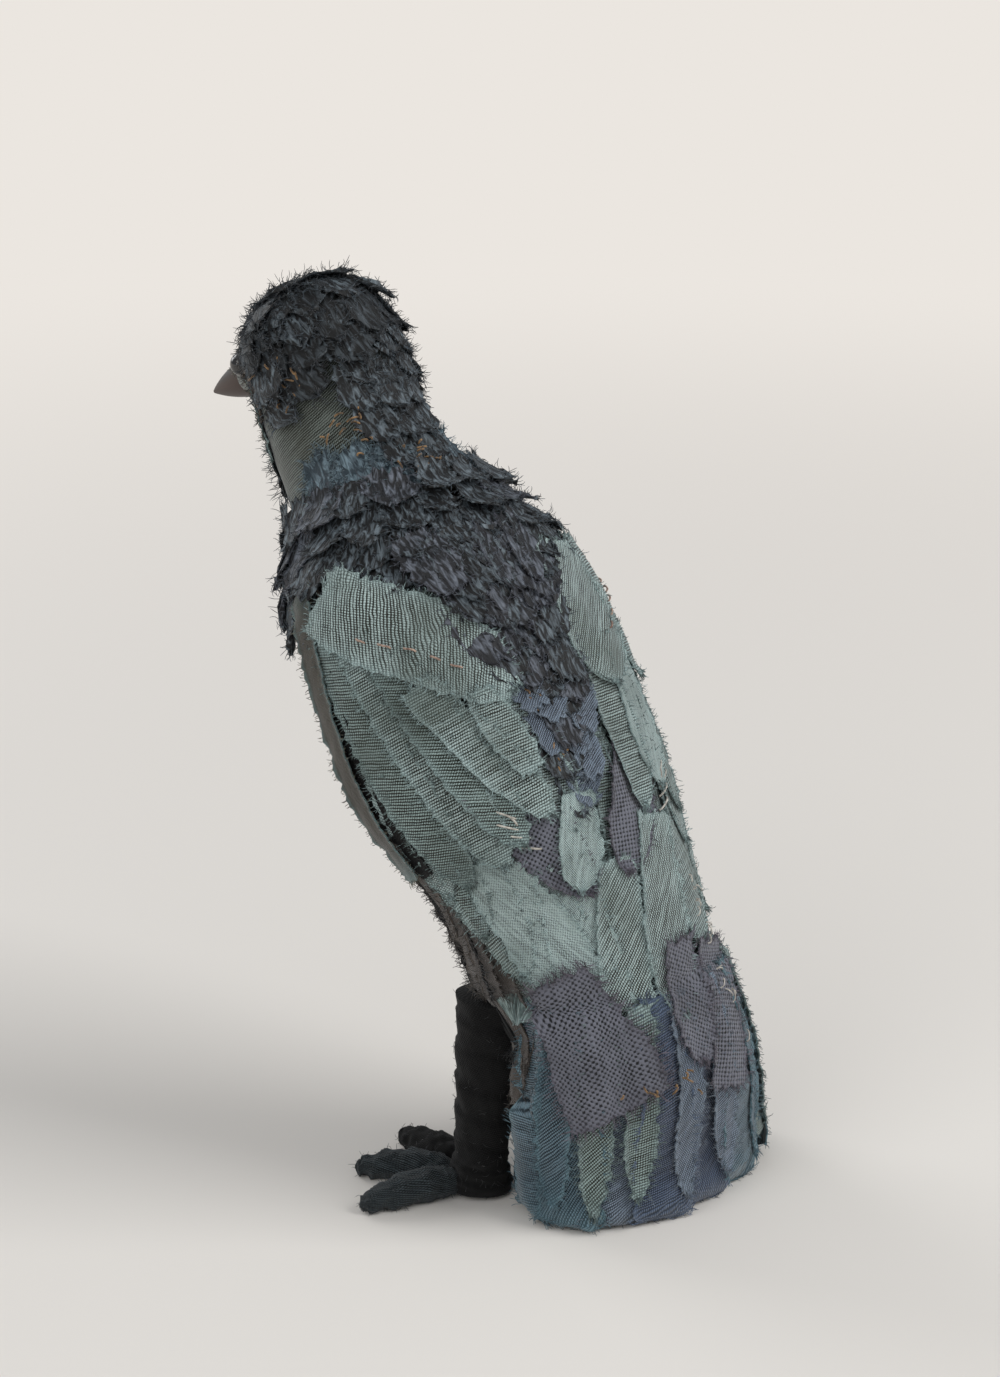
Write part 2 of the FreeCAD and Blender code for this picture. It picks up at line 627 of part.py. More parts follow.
scrap("breast_patch", (0,), front,
      symmetric([("breast_half", "breast_top"), ("breast_low_half", "-breast_drop")]),
      keep_outs.values())


# ---------------------------------------------------------------- tail
def tail_core():
    """Stuffed core of the tail behind the legs, under the rump."""
    room = block("tail_room", WORLD, ("-far", "tail_left"), ("tail_front", "far"),
                 ("tail_floor", "tail_top"))
    core = boolean("Common", "tail_whole", skin("0"), [room])
    return finish(core, "tail_core", [belly("tail_belly", "layer_gap")])


BLADES = 8
BLADE = symmetric([("blade_top_half", "blade_rise"), ("blade_low_half", "blade_corner - fan_height"),
                   ("blade_low_half - blade_corner", "-fan_height")])


def tail_blade(number):
    """One strip of the tail's fan, reaching the ground; its neighbours lie in other layers."""
    label = f"tail_blade_{number + 1}"
    frame = on_ring("fan", f"blade_first + {number} * blade_step")
    return scrap(label, (number % 2,), frame, BLADE, [ground], "blade_reach", "blade_reach")


tail_core()
for number in range(BLADES):
    tail_blade(number)
scrap("tail_root_patch", (2,), facing("fan", "patch_turn"),
      symmetric([("patch_half", "patch_rise"), ("patch_half", "-patch_drop")]))

# ---------------------------------------------------------------- check and write
doc.recompute()
broken = [thing.Name for thing in doc.Objects if {"Invalid", "Error"} & set(thing.State)]
assert not broken, f"failed: {broken}"
for part in parts:
    shape = part.Shape
    assert not shape.isNull() and shape.isValid() and shape.Volume > 0, f"bad shape: {part.Label}"
    box = shape.BoundBox
    print(f"{part.Label:28s} {len(shape.Solids)} solids {shape.Volume:9.1f} mm3  "
          f"z {box.ZMin:6.1f} to {box.ZMax:6.1f}")
    shape.exportStep(f"parts/{part.Label}.step")
print(len(parts), "pieces")
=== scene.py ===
# %% [markdown]
# # A stuffed bird dressed in scraps of cloth
# The real thing is a hand-sewn bird about 245 mm tall. A stuffed bag is the body, and old suiting,
# sacking and lining, torn into scraps, are laid over it like feathers and sewn down. Nothing on it
# is hard but the beak, the two glass eyes and the wire in the legs.
# The solid parts come first, as a fixed frame. Each scrap is then cut, laid and frayed on them.

# %% Load the fixed frame
import json
import math
import random

import bpy
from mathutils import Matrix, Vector, noise
from mathutils.bvhtree import BVHTree

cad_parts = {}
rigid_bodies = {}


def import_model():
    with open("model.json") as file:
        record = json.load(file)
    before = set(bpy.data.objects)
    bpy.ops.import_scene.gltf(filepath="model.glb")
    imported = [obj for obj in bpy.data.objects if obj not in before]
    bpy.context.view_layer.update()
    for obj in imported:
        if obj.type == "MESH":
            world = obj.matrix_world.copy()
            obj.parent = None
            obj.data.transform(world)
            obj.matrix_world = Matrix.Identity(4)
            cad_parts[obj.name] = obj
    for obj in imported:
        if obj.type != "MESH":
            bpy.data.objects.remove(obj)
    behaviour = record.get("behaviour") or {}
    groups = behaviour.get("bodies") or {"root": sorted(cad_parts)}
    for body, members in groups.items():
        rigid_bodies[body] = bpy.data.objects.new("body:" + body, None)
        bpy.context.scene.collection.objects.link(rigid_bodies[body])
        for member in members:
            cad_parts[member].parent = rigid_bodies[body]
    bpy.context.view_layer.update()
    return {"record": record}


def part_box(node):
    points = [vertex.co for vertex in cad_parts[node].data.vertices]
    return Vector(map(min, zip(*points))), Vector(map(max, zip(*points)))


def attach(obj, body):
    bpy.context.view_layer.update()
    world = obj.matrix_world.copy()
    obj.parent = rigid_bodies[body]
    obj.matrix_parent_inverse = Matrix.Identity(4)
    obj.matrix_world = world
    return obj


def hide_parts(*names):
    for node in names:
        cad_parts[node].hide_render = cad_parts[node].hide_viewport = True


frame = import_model()
MM = 0.001

# %% [markdown]
# ## Camera, floor and light
# The bird stands on a plain pale floor and is seen from behind its left wing, a little from above.
# A long lens keeps its proportions. The light is a soft sky and one large lamp from the upper
# right, so that the left side falls into a gentle shade and every rib of the cloth shows.

# %% Camera
CAMERA_PLACE = (0.4949, 0.5561, 0.3679)
CAMERA_LENS = 73.2
TURN, LIFT = math.radians(137.0), math.radians(17.7)
back = Vector((math.sin(TURN) * math.cos(LIFT), -math.cos(TURN) * math.cos(LIFT), math.sin(LIFT)))
bpy.ops.object.camera_add(location=CAMERA_PLACE, rotation=back.to_track_quat("Z", "Y").to_euler())
camera = bpy.context.object
camera.name = "view_camera"
camera.data.lens = CAMERA_LENS
camera.data.clip_start = 0.01
bpy.context.scene.camera = camera
bpy.context.scene.view_settings.view_transform = "Standard"
print("camera", [round(v, 3) for v in camera.location])

# %% Colours and nodes
def linear(hex_colour):
    """Turns an sRGB colour such as "#6f8580" into the linear values a shader takes."""
    shares = [int(hex_colour[i:i + 2], 16) / 255 for i in (1, 3, 5)]
    return [s / 12.92 if s < 0.04045 else ((s + 0.055) / 1.055) ** 2.4 for s in shares] + [1.0]


def add_node(material, kind, settings=None, links=None):
    """Adds one node. Settings go to its sockets or options, links bring other nodes' outputs."""
    made = material.node_tree.nodes.new(kind)
    for name, value in (settings or {}).items():
        if isinstance(name, int) or name in made.inputs:
            made.inputs[name].default_value = value
        else:
            setattr(made, name, value)
    for name, source in (links or {}).items():
        material.node_tree.links.new(source, made.inputs[name])
    return made


def new_material(name):
    material = bpy.data.materials.new(name)
    material.use_nodes = True
    material.node_tree.nodes.clear()
    return material


def finish_material(material, shader):
    add_node(material, "ShaderNodeOutputMaterial", links={"Surface": shader.outputs[0]})
    return material


def surface(material, settings, links):
    """Ends a material with one principled shader."""
    return finish_material(material, add_node(material, "ShaderNodeBsdfPrincipled", settings, links))


# %% Short words for the nodes that come up most
def place_on_piece(material):
    """Coordinates that stay with the piece, in metres."""
    return add_node(material, "ShaderNodeTexCoord").outputs["Object"]


def speckle(material, place, scale, detail, distortion=0.0):
    """A cloud of noise on the given coordinates."""
    settings = {"Scale": scale, "Detail": detail, "Distortion": distortion}
    return add_node(material, "ShaderNodeTexNoise", settings, {"Vector": place})


def drawn_out(material, place, scale):
    """Coordinates stretched by a different amount along each axis."""
    return add_node(material, "ShaderNodeMapping", {"Scale": scale}, {"Vector": place}).outputs[0]


def worked(material, operation, *terms, clamp=False):
    """The result of one sum; each term is a number or another node's output."""
    numbers = {place: term for place, term in enumerate(terms) if isinstance(term, float)}
    outputs = {place: term for place, term in enumerate(terms) if place not in numbers}
    settings = {"operation": operation, "use_clamp": clamp, **numbers}
    return add_node(material, "ShaderNodeMath", settings, outputs).outputs[0]


def spread(material, value, low, high, bottom=0.0, top=1.0, curve="LINEAR"):
    """Spreads the stretch from low to high over the stretch from bottom to top."""
    settings = {"interpolation_type": curve, "From Min": low, "From Max": high, "To Min": bottom,
                "To Max": top}
    return add_node(material, "ShaderNodeMapRange", settings, {"Value": value}).outputs[0]


def two_tone(material, share, first, second):
    """Mixes two colours by a share; each is an sRGB colour or another node's output."""
    ends = {6: first, 7: second}
    colours = {place: linear(end) for place, end in ends.items() if isinstance(end, str)}
    outputs = {place: end for place, end in ends.items() if place not in colours}
    settings = {"data_type": "RGBA", **colours}
    return add_node(material, "ShaderNodeMix", settings, {0: share, **outputs}).outputs[2]


def bumps(material, height, strength, distance):
    """Shading bumps from a height, so deep in metres."""
    settings = {"Strength": strength, "Distance": distance}
    return add_node(material, "ShaderNodeBump", settings, {"Height": height}).outputs[0]


# %% Floor and backdrop
CARD_COLOUR, WALL_COLOUR, SKY_COLOUR = "#dedad4", "#ebe6e0", "#eef0f4"
CARD_SIZE, WALL_DISTANCE, SKY_STRENGTH = 60.0, 1.5, 0.42


def paper(name, colour, wall):
    """Matt card that fades into a pale wall away from the bird, where it is seen directly."""
    material = new_material(name)
    rays = add_node(material, "ShaderNodeLightPath").outputs
    place = place_on_piece(material)
    grain = speckle(material, place, 900.0, 2.0).outputs["Fac"]
    card = add_node(material, "ShaderNodeBsdfPrincipled", {"Base Color": linear(colour), "Roughness": 0.9},
                    {"Normal": bumps(material, grain, 0.1, 0.0002)})
    light = add_node(material, "ShaderNodeEmission", {"Color": linear(wall), "Strength": 1.0})
    seen = worked(material, "MAXIMUM", rays["Is Camera Ray"], rays["Is Glossy Ray"])
    seen = worked(material, "MAXIMUM", seen, rays["Is Transmission Ray"])
    far = add_node(material, "ShaderNodeVectorMath", {"operation": "LENGTH"}, {0: place}).outputs["Value"]
    far = spread(material, far, 0.0, WALL_DISTANCE, curve="SMOOTHSTEP")
    share = worked(material, "MULTIPLY", far, seen)
    mixed = add_node(material, "ShaderNodeMixShader",
                     links={0: share, 1: card.outputs[0], 2: light.outputs[0]})
    return finish_material(material, mixed)


bpy.ops.mesh.primitive_plane_add(size=CARD_SIZE, location=(0, 0, 0))
floor = bpy.context.object
floor.name = "floor_card"
floor.data.materials.append(paper("pale_card", CARD_COLOUR, WALL_COLOUR))

world = bpy.data.worlds.new("soft_sky")
bpy.context.scene.world = world
world.use_nodes = True
world.node_tree.nodes.clear()
rays = add_node(world, "ShaderNodeLightPath").outputs
soft_sky = add_node(world, "ShaderNodeBackground", {"Color": linear(SKY_COLOUR), "Strength": SKY_STRENGTH})
seen_sky = add_node(world, "ShaderNodeBackground", {"Color": linear(WALL_COLOUR)})
sky = add_node(world, "ShaderNodeMixShader",
               links={0: rays["Is Camera Ray"], 1: soft_sky.outputs[0], 2: seen_sky.outputs[0]})
add_node(world, "ShaderNodeOutputWorld", links={"Surface": sky.outputs[0]})


# %% Lamps
def lamp(name, place, aim, size, power):
    """Large soft lamp at a place, turned to what it lights."""
    bpy.ops.object.light_add(type="AREA", location=place)
    light = bpy.context.object
    light.name = name
    light.rotation_euler = (Vector(place) - Vector(aim)).to_track_quat("Z", "Y").to_euler()
    light.data.size = size
    light.data.energy = power
    print(name, power, "W")


lamp("window_lamp", (-0.7, 1.1, 1.2), (0, 0.03, 0.12), 0.9, 18.0)
lamp("fill_lamp", (1.4, 0.3, 0.9), (0, 0.03, 0.12), 1.2, 9.0)
lamp("front_lamp", (0.2, -1.5, 0.9), (0, 0.0, 0.12), 1.0, 9.0)

# %% [markdown]
# ## The cloths
# The ribbed cloth is a wool twill, the kind used for suits: light threads cross dark ones and step
# sideways, which gives slanting ribs about 0.8 mm apart. The coarse patches are a basket weave of
# doubled threads, like sacking. The tail is lining and plain cotton in blues, and the head is
# napped silk velvet, worn to threads, which catches light at a glancing angle.
# Each scrap carries its own map in millimetres, so the weave turns with the scrap that was cut.
# Two wave textures, turned against each other, are the two sets of threads.

# %% Woven cloth
# how far the two sets of threads are turned, and how close each is to the pitch of the ribs
WEAVES = {
    "twill": ((0.9, 1.0), (-0.35, 1.25)),
    "basket": ((0.0, 0.5), (math.pi / 2, 0.5)),
    "plain": ((0.0, 1.0), (math.pi / 2, 1.0)),
}


def weave_height(material, place, pitch, weave):
    """The height of the crossing threads, and coordinates that run along the first of them."""
    wave_scale = math.pi / 10 / pitch
    sets = []
    for turn, share in WEAVES[weave]:
        run = add_node(material, "ShaderNodeMapping", {"Rotation": (0, 0, turn)}, {"Vector": place})
        run = run.outputs[0]
        wave = add_node(material, "ShaderNodeTexWave", {"Scale": wave_scale * share}, {"Vector": run})
        sets.append((wave.outputs["Fac"], run))
    (first, along), (second, _) = sets
    if weave == "twill":
        dash = worked(material, "MULTIPLY_ADD", second, 0.85, 0.25)
        return worked(material, "MULTIPLY", first, dash), along
    halves = [worked(material, "SUBTRACT", wave, 0.5) for wave in (first, second)]
    crossed = worked(material, "MULTIPLY", *halves)
    return worked(material, "MULTIPLY_ADD", crossed, 2.0, 0.5), along


def woven(name, light, dark, stain, raw, pitch, weave, roughness=0.92, sheen=0.3, relief=0.25):
    """Cloth whose map is in millimetres: pitch is the distance between ribs or threads.

    The stain is a third colour, dyed or faded in patches, raw is the paler colour of the fluff
    along a torn edge, and relief is the depth of the weave in millimetres.
    """
    material = new_material(name)
    place = add_node(material, "ShaderNodeUVMap", {"uv_map": "cut"}).outputs[0]
    wobble = speckle(material, place, 0.35 / pitch, 3.0).outputs["Color"]
    moved = add_node(material, "ShaderNodeVectorMath", {"operation": "SCALE", "Scale": 0.55 * pitch},
                     {0: wobble}).outputs[0]
    place = add_node(material, "ShaderNodeVectorMath", {"operation": "ADD"},
                     {0: place, 1: moved}).outputs[0]
    height, along = weave_height(material, place, pitch, weave)
    slub = drawn_out(material, along, (1.0 / pitch, 0.09 / pitch, 1.0))
    slub = speckle(material, slub, 0.8, 2.0).outputs["Fac"]
    fibre = speckle(material, place, 3.2 / pitch, 3.0).outputs["Fac"]
    lit = worked(material, "ADD", worked(material, "MULTIPLY_ADD", slub, 0.9, -0.42), height)
    fuzz = worked(material, "MULTIPLY_ADD", fibre, 0.9, -0.45)
    lit = worked(material, "ADD", lit, fuzz, clamp=True)
    threads = two_tone(material, spread(material, lit, 0.16, 0.62), dark, light)
    torn = add_node(material, "ShaderNodeAttribute", {"attribute_name": "torn_edge"}).outputs["Fac"]
    threads = two_tone(material, worked(material, "MULTIPLY", torn, fibre), threads, raw)
    fade = speckle(material, place_on_piece(material), 45.0, 4.0).outputs["Fac"]
    dyed = two_tone(material, spread(material, fade, 0.48, 0.72, top=0.55), threads, stain)
    fluff = worked(material, "MULTIPLY_ADD", fibre, 0.5, height)
    return surface(material, {"Roughness": roughness, "Sheen Weight": sheen, "Sheen Roughness": 0.45,
                              "Specular IOR Level": 0.25},
                   {"Base Color": dyed, "Normal": bumps(material, fluff, 0.9, relief * MM)})


# name, light, dark, stain and raw colours, pitch in millimetres, weave
green_twill = woven("grey_green_wool_twill", "#b3c6c4", "#262823", "#465049", "#a3b9b8", 0.76, "twill")
# the shaded wool twill is the grey-green twill again in darker colours: painted shade
shaded_twill = woven("shaded_wool_twill", "#9bafac", "#22251f", "#363d35", "#8ea3a3", 0.76, "twill")
green_basket = woven("grey_green_wool_cloth", "#b3c6c4", "#2a2e2a", "#4e5954", "#a3b9b8", 0.62, "plain")
neck_twill = woven("fine_brown_green_twill", "#747c76", "#22231e", "#45443a", "#7a7866", 0.7, "twill",
                   relief=0.12)
olive_cotton = woven("olive_brown_cotton", "#443f34", "#1d1b17", "#2c2820", "#7d9a9c", 0.6, "plain",
                     relief=0.12)
sacking = woven("purple_brown_basket_sacking", "#6b6d77", "#111214", "#29282d", "#62616b", 0.78, "basket",
                relief=0.3)
teal_cotton = woven("blue_teal_cotton", "#6d8592", "#182229", "#2c3c46", "#6f919b", 0.7, "twill", relief=0.2)
navy_cotton = woven("navy_cotton", "#5a6880", "#171d28", "#293244", "#62748b", 0.66, "twill", relief=0.2)
brown_cotton = woven("dark_brown_cotton", "#4c443d", "#14110f", "#272220", "#5c544c", 0.6, "plain",
                     relief=0.18)
black_cotton = woven("black_cotton_strip", "#141414", "#040404", "#090909", "#232425", 0.7, "plain",
                     roughness=0.95, sheen=0.05, relief=0.2)
toe_cotton = woven("blue_black_cotton_strip", "#424b4f", "#101415", "#22282a", "#48525a", 0.8, "twill",
                   roughness=0.95, sheen=0.1, relief=0.25)
slate_lining = woven("slate_blue_lining", "#8290a1", "#23282f", "#434c58", "#7c8a98", 0.6, "twill",
                     relief=0.15)


# %% Worn velvet and loose fibres
def velvet(name, pile, glint):
    """Worn black velvet: matt pile with crinkles whose raised crests are painted in a blue-grey highlight
    colour.
    """
    material = new_material(name)
    place = add_node(material, "ShaderNodeUVMap", {"uv_map": "cut"}).outputs[0]
    crinkle = speckle(material, drawn_out(material, place, (1.0, 0.28, 1.0)), 0.75, 6.0, 0.9).outputs["Fac"]
    # the glint colour on the crinkles is a painted highlight
    colour = two_tone(material, spread(material, crinkle, 0.47, 0.66), pile, glint)
    return surface(material, {"Roughness": 0.62, "Sheen Weight": 0.5, "Sheen Roughness": 0.3,
                              "Sheen Tint": linear("#8c969e"), "Specular IOR Level": 0.4},
                   {"Base Color": colour, "Normal": bumps(material, crinkle, 1.0, 0.0011)})


def yarn(name, dark, light):
    """Loose fibres of a torn edge, some lighter than others."""
    material = new_material(name)
    shade = speckle(material, place_on_piece(material), 700.0, 2.0).outputs["Fac"]
    colour = two_tone(material, spread(material, shade, 0.35, 0.65), dark, light)
    return surface(material, {"Roughness": 0.8, "Sheen Weight": 0.3, "Specular IOR Level": 0.3},
                   {"Base Color": colour})


# the second colour of each velvet and of the felt is its painted highlight
crown_velvet = velvet("worn_black_velvet", "#060707", "#434a4f")
black_velvet = velvet("worn_grey_black_velvet", "#0c0d0e", "#68737a")
plum_velvet = velvet("worn_plum_velvet", "#141519", "#686e78")
felt_nap = velvet("worn_blue_felt", "#2b3840", "#71858f")
YARNS = {
    green_twill: yarn("green_fray", "#33403f", "#93a8a8"),
    # the fray of the shaded twill is darkened the same way: painted shade
    shaded_twill: yarn("dark_green_fray", "#232a29", "#6c7f7c"),
    green_basket: yarn("green_basket_fray", "#33403f", "#93a8a8"),
    olive_cotton: yarn("olive_fray", "#2a2720", "#6a6a58"),
    neck_twill: yarn("brown_green_fray", "#2e2f28", "#6d6a58"),
    sacking: yarn("purple_fray", "#1f1c22", "#6a6470"),
    teal_cotton: yarn("teal_fray", "#1f2d33", "#62808c"),
    navy_cotton: yarn("navy_fray", "#202a3a", "#5c6d86"),
    brown_cotton: yarn("brown_fray", "#1a1715", "#4d463f"),
    black_cotton: yarn("black_fray", "#08090a", "#222527"),
    toe_cotton: yarn("toe_fray", "#121517", "#3d464a"),
    slate_lining: yarn("slate_fray", "#2a2f36", "#78838f"),
    crown_velvet: yarn("crown_fray", "#0b0c0e", "#2f363d"),
    felt_nap: yarn("felt_fray", "#2b3840", "#6f848d"),
    black_velvet: yarn("velvet_fray", "#101316", "#4c5760"),
    plum_velvet: yarn("plum_velvet_fray", "#16161b", "#50535f"),
}
gold_thread = yarn("brown_gold_thread", "#4a3a28", "#9a7850")
pink_thread = yarn("faded_pink_thread", "#6b5348", "#b09888")
dark_thread = yarn("dark_brown_thread", "#211c18", "#40362e")
white_thread = yarn("pale_cotton_thread", "#8d8880", "#c9c4ba")
print("cloths and velvets", len(YARNS))

# %% [markdown]
# ## A form to drape on
# A tailor drapes on a dress form. Here the form is the frame's own stuffed body, copied, joined and
# melted into one skin by a voxel remesh, so that every scrap finds the surface under it. One form
# has the bare body, and one has the wing cloths on it as well. Both are thrown away at the end.

# %% Selecting and shaping
def deselect():
    bpy.ops.object.select_all(action="DESELECT")


def pick(*things):
    """Selects these objects and nothing else; the first is the active one."""
    deselect()
    for thing in things:
        thing.select_set(True)
    bpy.context.view_layer.objects.active = things[0]


def apply_modifier(thing, kind, **settings):
    modifier = thing.modifiers.new(kind.lower(), kind)
    for name, value in settings.items():
        setattr(modifier, name, value)
    pick(thing)
    bpy.ops.object.modifier_apply(modifier=modifier.name)


def node_object(node):
    """The frame's own object for a node."""
    found = bpy.data.objects.get(node)
    return found if found else next(o for o in bpy.data.objects if o.name.split(".")[0] == node)


def middle_of(node):
    """The middle of a frame node's box."""
    return sum((Vector(corner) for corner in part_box(node)), Vector()) / 2


# %% Melting nodes into a form
def melted(name, nodes, voxel, smooth):
    """Copies nodes, joins them and melts them into one closed skin, without the hollows inside it."""
    copies = []
    for node in nodes:
        copy = bpy.data.objects.new(name, node_object(node).data.copy())
        bpy.context.collection.objects.link(copy)
        copies.append(copy)
    pick(*copies)
    bpy.ops.object.join()
    form = bpy.context.object
    form.data.materials.clear()
    form.name = name
    bpy.ops.object.mode_set(mode="EDIT")
    bpy.ops.mesh.select_all(action="SELECT")
    bpy.ops.mesh.remove_doubles(threshold=0.00001)
    bpy.ops.object.mode_set(mode="OBJECT")
    apply_modifier(form, "REMESH", mode="VOXEL", voxel_size=voxel * MM)
    bpy.ops.object.mode_set(mode="EDIT")
    bpy.ops.mesh.select_all(action="SELECT")
    bpy.ops.mesh.separate(type="LOOSE")
    bpy.ops.object.mode_set(mode="OBJECT")
    shells = sorted(bpy.context.selected_objects, key=lambda shell: shell.dimensions.length)
    form = shells.pop()
    for shell in shells:
        bpy.data.objects.remove(shell)
    form.name = name
    apply_modifier(form, "SMOOTH", factor=0.5, iterations=smooth)
    print(name, len(form.data.polygons), "faces")
    return form


WINGS = {"left": 1, "right": -1}
BARE = ["body_cover", "body_stuffing", "neck_cover", "head_stuffing", "tail_core"]
DRESSED = (BARE + ["saddle_patch", "left_wing_panel", "right_wing_panel"]
           + [f"tail_blade_{number}" for number in range(1, 9)])
FORM_VOXEL, FORM_SMOOTH = 1.5, 12
body_form = melted("body_form", BARE, FORM_VOXEL, FORM_SMOOTH)
dressed_form = melted("dressed_form", DRESSED, FORM_VOXEL, FORM_SMOOTH)


# %% Finding the skin
class Skin:
    """Finds the nearest place on a form, and which way is out there."""

    def __init__(self, form):
        self.mesh = form.data
        self.tree = BVHTree.FromObject(form, bpy.context.evaluated_depsgraph_get())

    def nearest(self, point):
        spot, _, face, _ = self.tree.find_nearest(point)
        corners = self.mesh.polygons[face].vertices
        out = sum((self.mesh.vertices[i].normal for i in corners), Vector())
        return spot, out.normalized()


body_skin, dressed_skin = Skin(body_form), Skin(dressed_form)

# %% [markdown]
# ## Cutting, laying and fraying a scrap
# A scrap starts as a grid, the flat cloth. Its outline is pulled to a feather's shape with a torn
# edge, and every point of it is laid on the form, a little above what is already there. The map of
# the weave keeps the flat measures in millimetres. Loose threads then come out of the torn edge:
# one poly curve with a thin round section, turned into a mesh and joined to the scrap.

# %% Outlines of feathers
# half width of a scrap as a share of its greatest, from 0 at its top to 1 at its foot
OUTLINES = {
    "band": lambda t: 1.0,
    "tongue": lambda t: (0.72 + 0.28 * math.sin(math.pi * min(t, 0.6) / 1.2))
    * math.sqrt(max(0.03, 1 - (max(0.0, t - 0.55) / 0.45) ** 2)),
    "leaf": lambda t: 0.35 + 0.65 * math.sin(math.pi * min(1.0, 0.15 + 0.75 * t)),
    "fan": lambda t: 0.55 + 0.45 * min(1.0, 1.6 * t),
    "wing": lambda t: min(0.45 + 3.2 * t, 1.0) - 0.75 * max(0.0, t - 0.35) ** 1.3,
}
random.seed(11)


def mm(*values):
    return Vector(values) * MM


def scatter(reach):
    """A random vector inside a box that goes this far each way."""
    return Vector([random.uniform(-reach, reach) for _ in range(3)])


def random_seed_place(size):
    """A random place to read noise from, so that no two pieces are alike."""
    return Vector([random.uniform(0, size) for _ in range(3)])


def round_curve(name, radius, smoothness):
    """An empty curve with a round section; the radius is in millimetres."""
    curve = bpy.data.curves.new(name, "CURVE")
    curve.dimensions = "3D"
    curve.bevel_depth = radius * MM
    curve.bevel_resolution = smoothness
    return curve


def as_mesh(curve, material):
    """Turns a curve into a mesh object with one material."""
    threads = bpy.data.objects.new(curve.name, curve)
    bpy.context.collection.objects.link(threads)
    pick(threads)
    bpy.ops.object.convert(target="MESH")
    threads = bpy.context.object
    threads.data.materials.clear()
    threads.data.materials.append(material)
    return threads


# %% Loose threads
def fray(piece, cloth, starts, skin, length, lift, wild, radius=0.08):
    """Joins loose threads to a torn edge.

    Starts are places and the ways out of them. Lengths are in metres, but the thread's radius is
    in millimetres, and wild is how much each thread curls.
    """
    curve = round_curve(f"{piece.name}_fray", radius, 0)
    for place, way in starts:
        reach = length * random.uniform(0.35, 1.0)
        swing = scatter(1) * wild
        points, spot, heading = [place - way * 0.6 * MM], place, way
        for step in range(3):
            heading = (heading + swing * (0.25 + 0.3 * step)).normalized()
            spot = spot + heading * reach / 3
            under, out = skin.nearest(spot)
            height = (spot - under).dot(out)
            if height < lift * 0.7:
                spot = under + out * lift * random.uniform(0.7, 1.2)
            points.append(spot)
        spline = curve.splines.new("POLY")
        spline.points.add(len(points) - 1)
        for target, point in zip(spline.points, points):
            target.co = (*point, 1.0)
        spline.points[-1].radius = 0.45
    threads = as_mesh(curve, YARNS[cloth])
    pick(piece, threads)
    bpy.ops.object.join()


def lay_map(piece, places):
    """Writes the map called cut, with one flat place for each point of the mesh."""
    layer = piece.data.uv_layers[0]
    layer.name = "cut"
    for loop in piece.data.loops:
        layer.data[loop.index].uv = places[loop.vertex_index]


# %% Laying a cloth
def lay_cloth(cut, top, reach, width, outline, lift, torn, flare, wrinkle, skin, seed):
    """Tears a grid's outline and lays it on a form.

    It gives each point's place on the flat cloth, in millimetres, and how near a torn edge it is.
    """
    length = reach.length / MM
    flat, torn_share = [], []
    for vertex in cut.data.vertices:
        side, down = vertex.co.x, (1 - vertex.co.y) / 2
        edge = max(abs(side), abs(2 * down - 1)) ** 8
        rough = noise.noise(seed + Vector((side * width, down * length * 2, 0)) * 0.35)
        fine = noise.noise(seed + Vector((side * width, down * length, 5)) * 1.1)
        half = width / 2 * OUTLINES[outline](down) + torn * edge * (rough * 0.9 + 0.7 * fine)
        sway = 1.4 * noise.noise(seed + Vector((side * width * 0.4, 9, 0)))
        lean = down + torn * sway / length * (2 * down - 1) * edge
        centre, out = skin.nearest(top + reach * lean)
        across = out.cross(reach).normalized()
        spot, out = skin.nearest(centre + across * side * half * MM)
        fold = noise.noise(spot / MM * 0.09) + 0.5 * noise.noise(spot / MM * 0.22)
        small = noise.noise(seed + Vector((side * half, lean * length, 3)) * 0.4)
        rise = lift + flare * down ** 2 + wrinkle * (fold + 0.25 * small) + 0.5 * edge * (1 + 1.6 * rough)
        vertex.co = spot + out * max(rise, 0.1) * MM
        vertex.co.z = max(vertex.co.z, 0.8 * MM)
        torn_share.append(edge)
        flat.append((side * half, -lean * length))
    return flat, torn_share


def edge_starts(cut, across_count, along_count, threads_each):
    """Places on the four edges of a grid, and the way out of the cloth at each."""
    row = across_count + 1
    borders = []
    for j in range(along_count + 1):
        borders += [(j * row, j * row + 1), (j * row + row - 1, j * row + row - 2)]
    for i in range(row):
        borders += [(i, i + row), (along_count * row + i, (along_count - 1) * row + i)]
    spots = [vertex.co.copy() for vertex in cut.data.vertices]
    starts = []
    for border, inner in borders:
        for _ in range(int(threads_each + random.random())):
            way = (spots[border] - spots[inner]).normalized()
            jitter = scatter(0.5)
            starts.append((spots[border] + jitter * MM * 0.8, (way + jitter * 0.8).normalized()))
    return starts


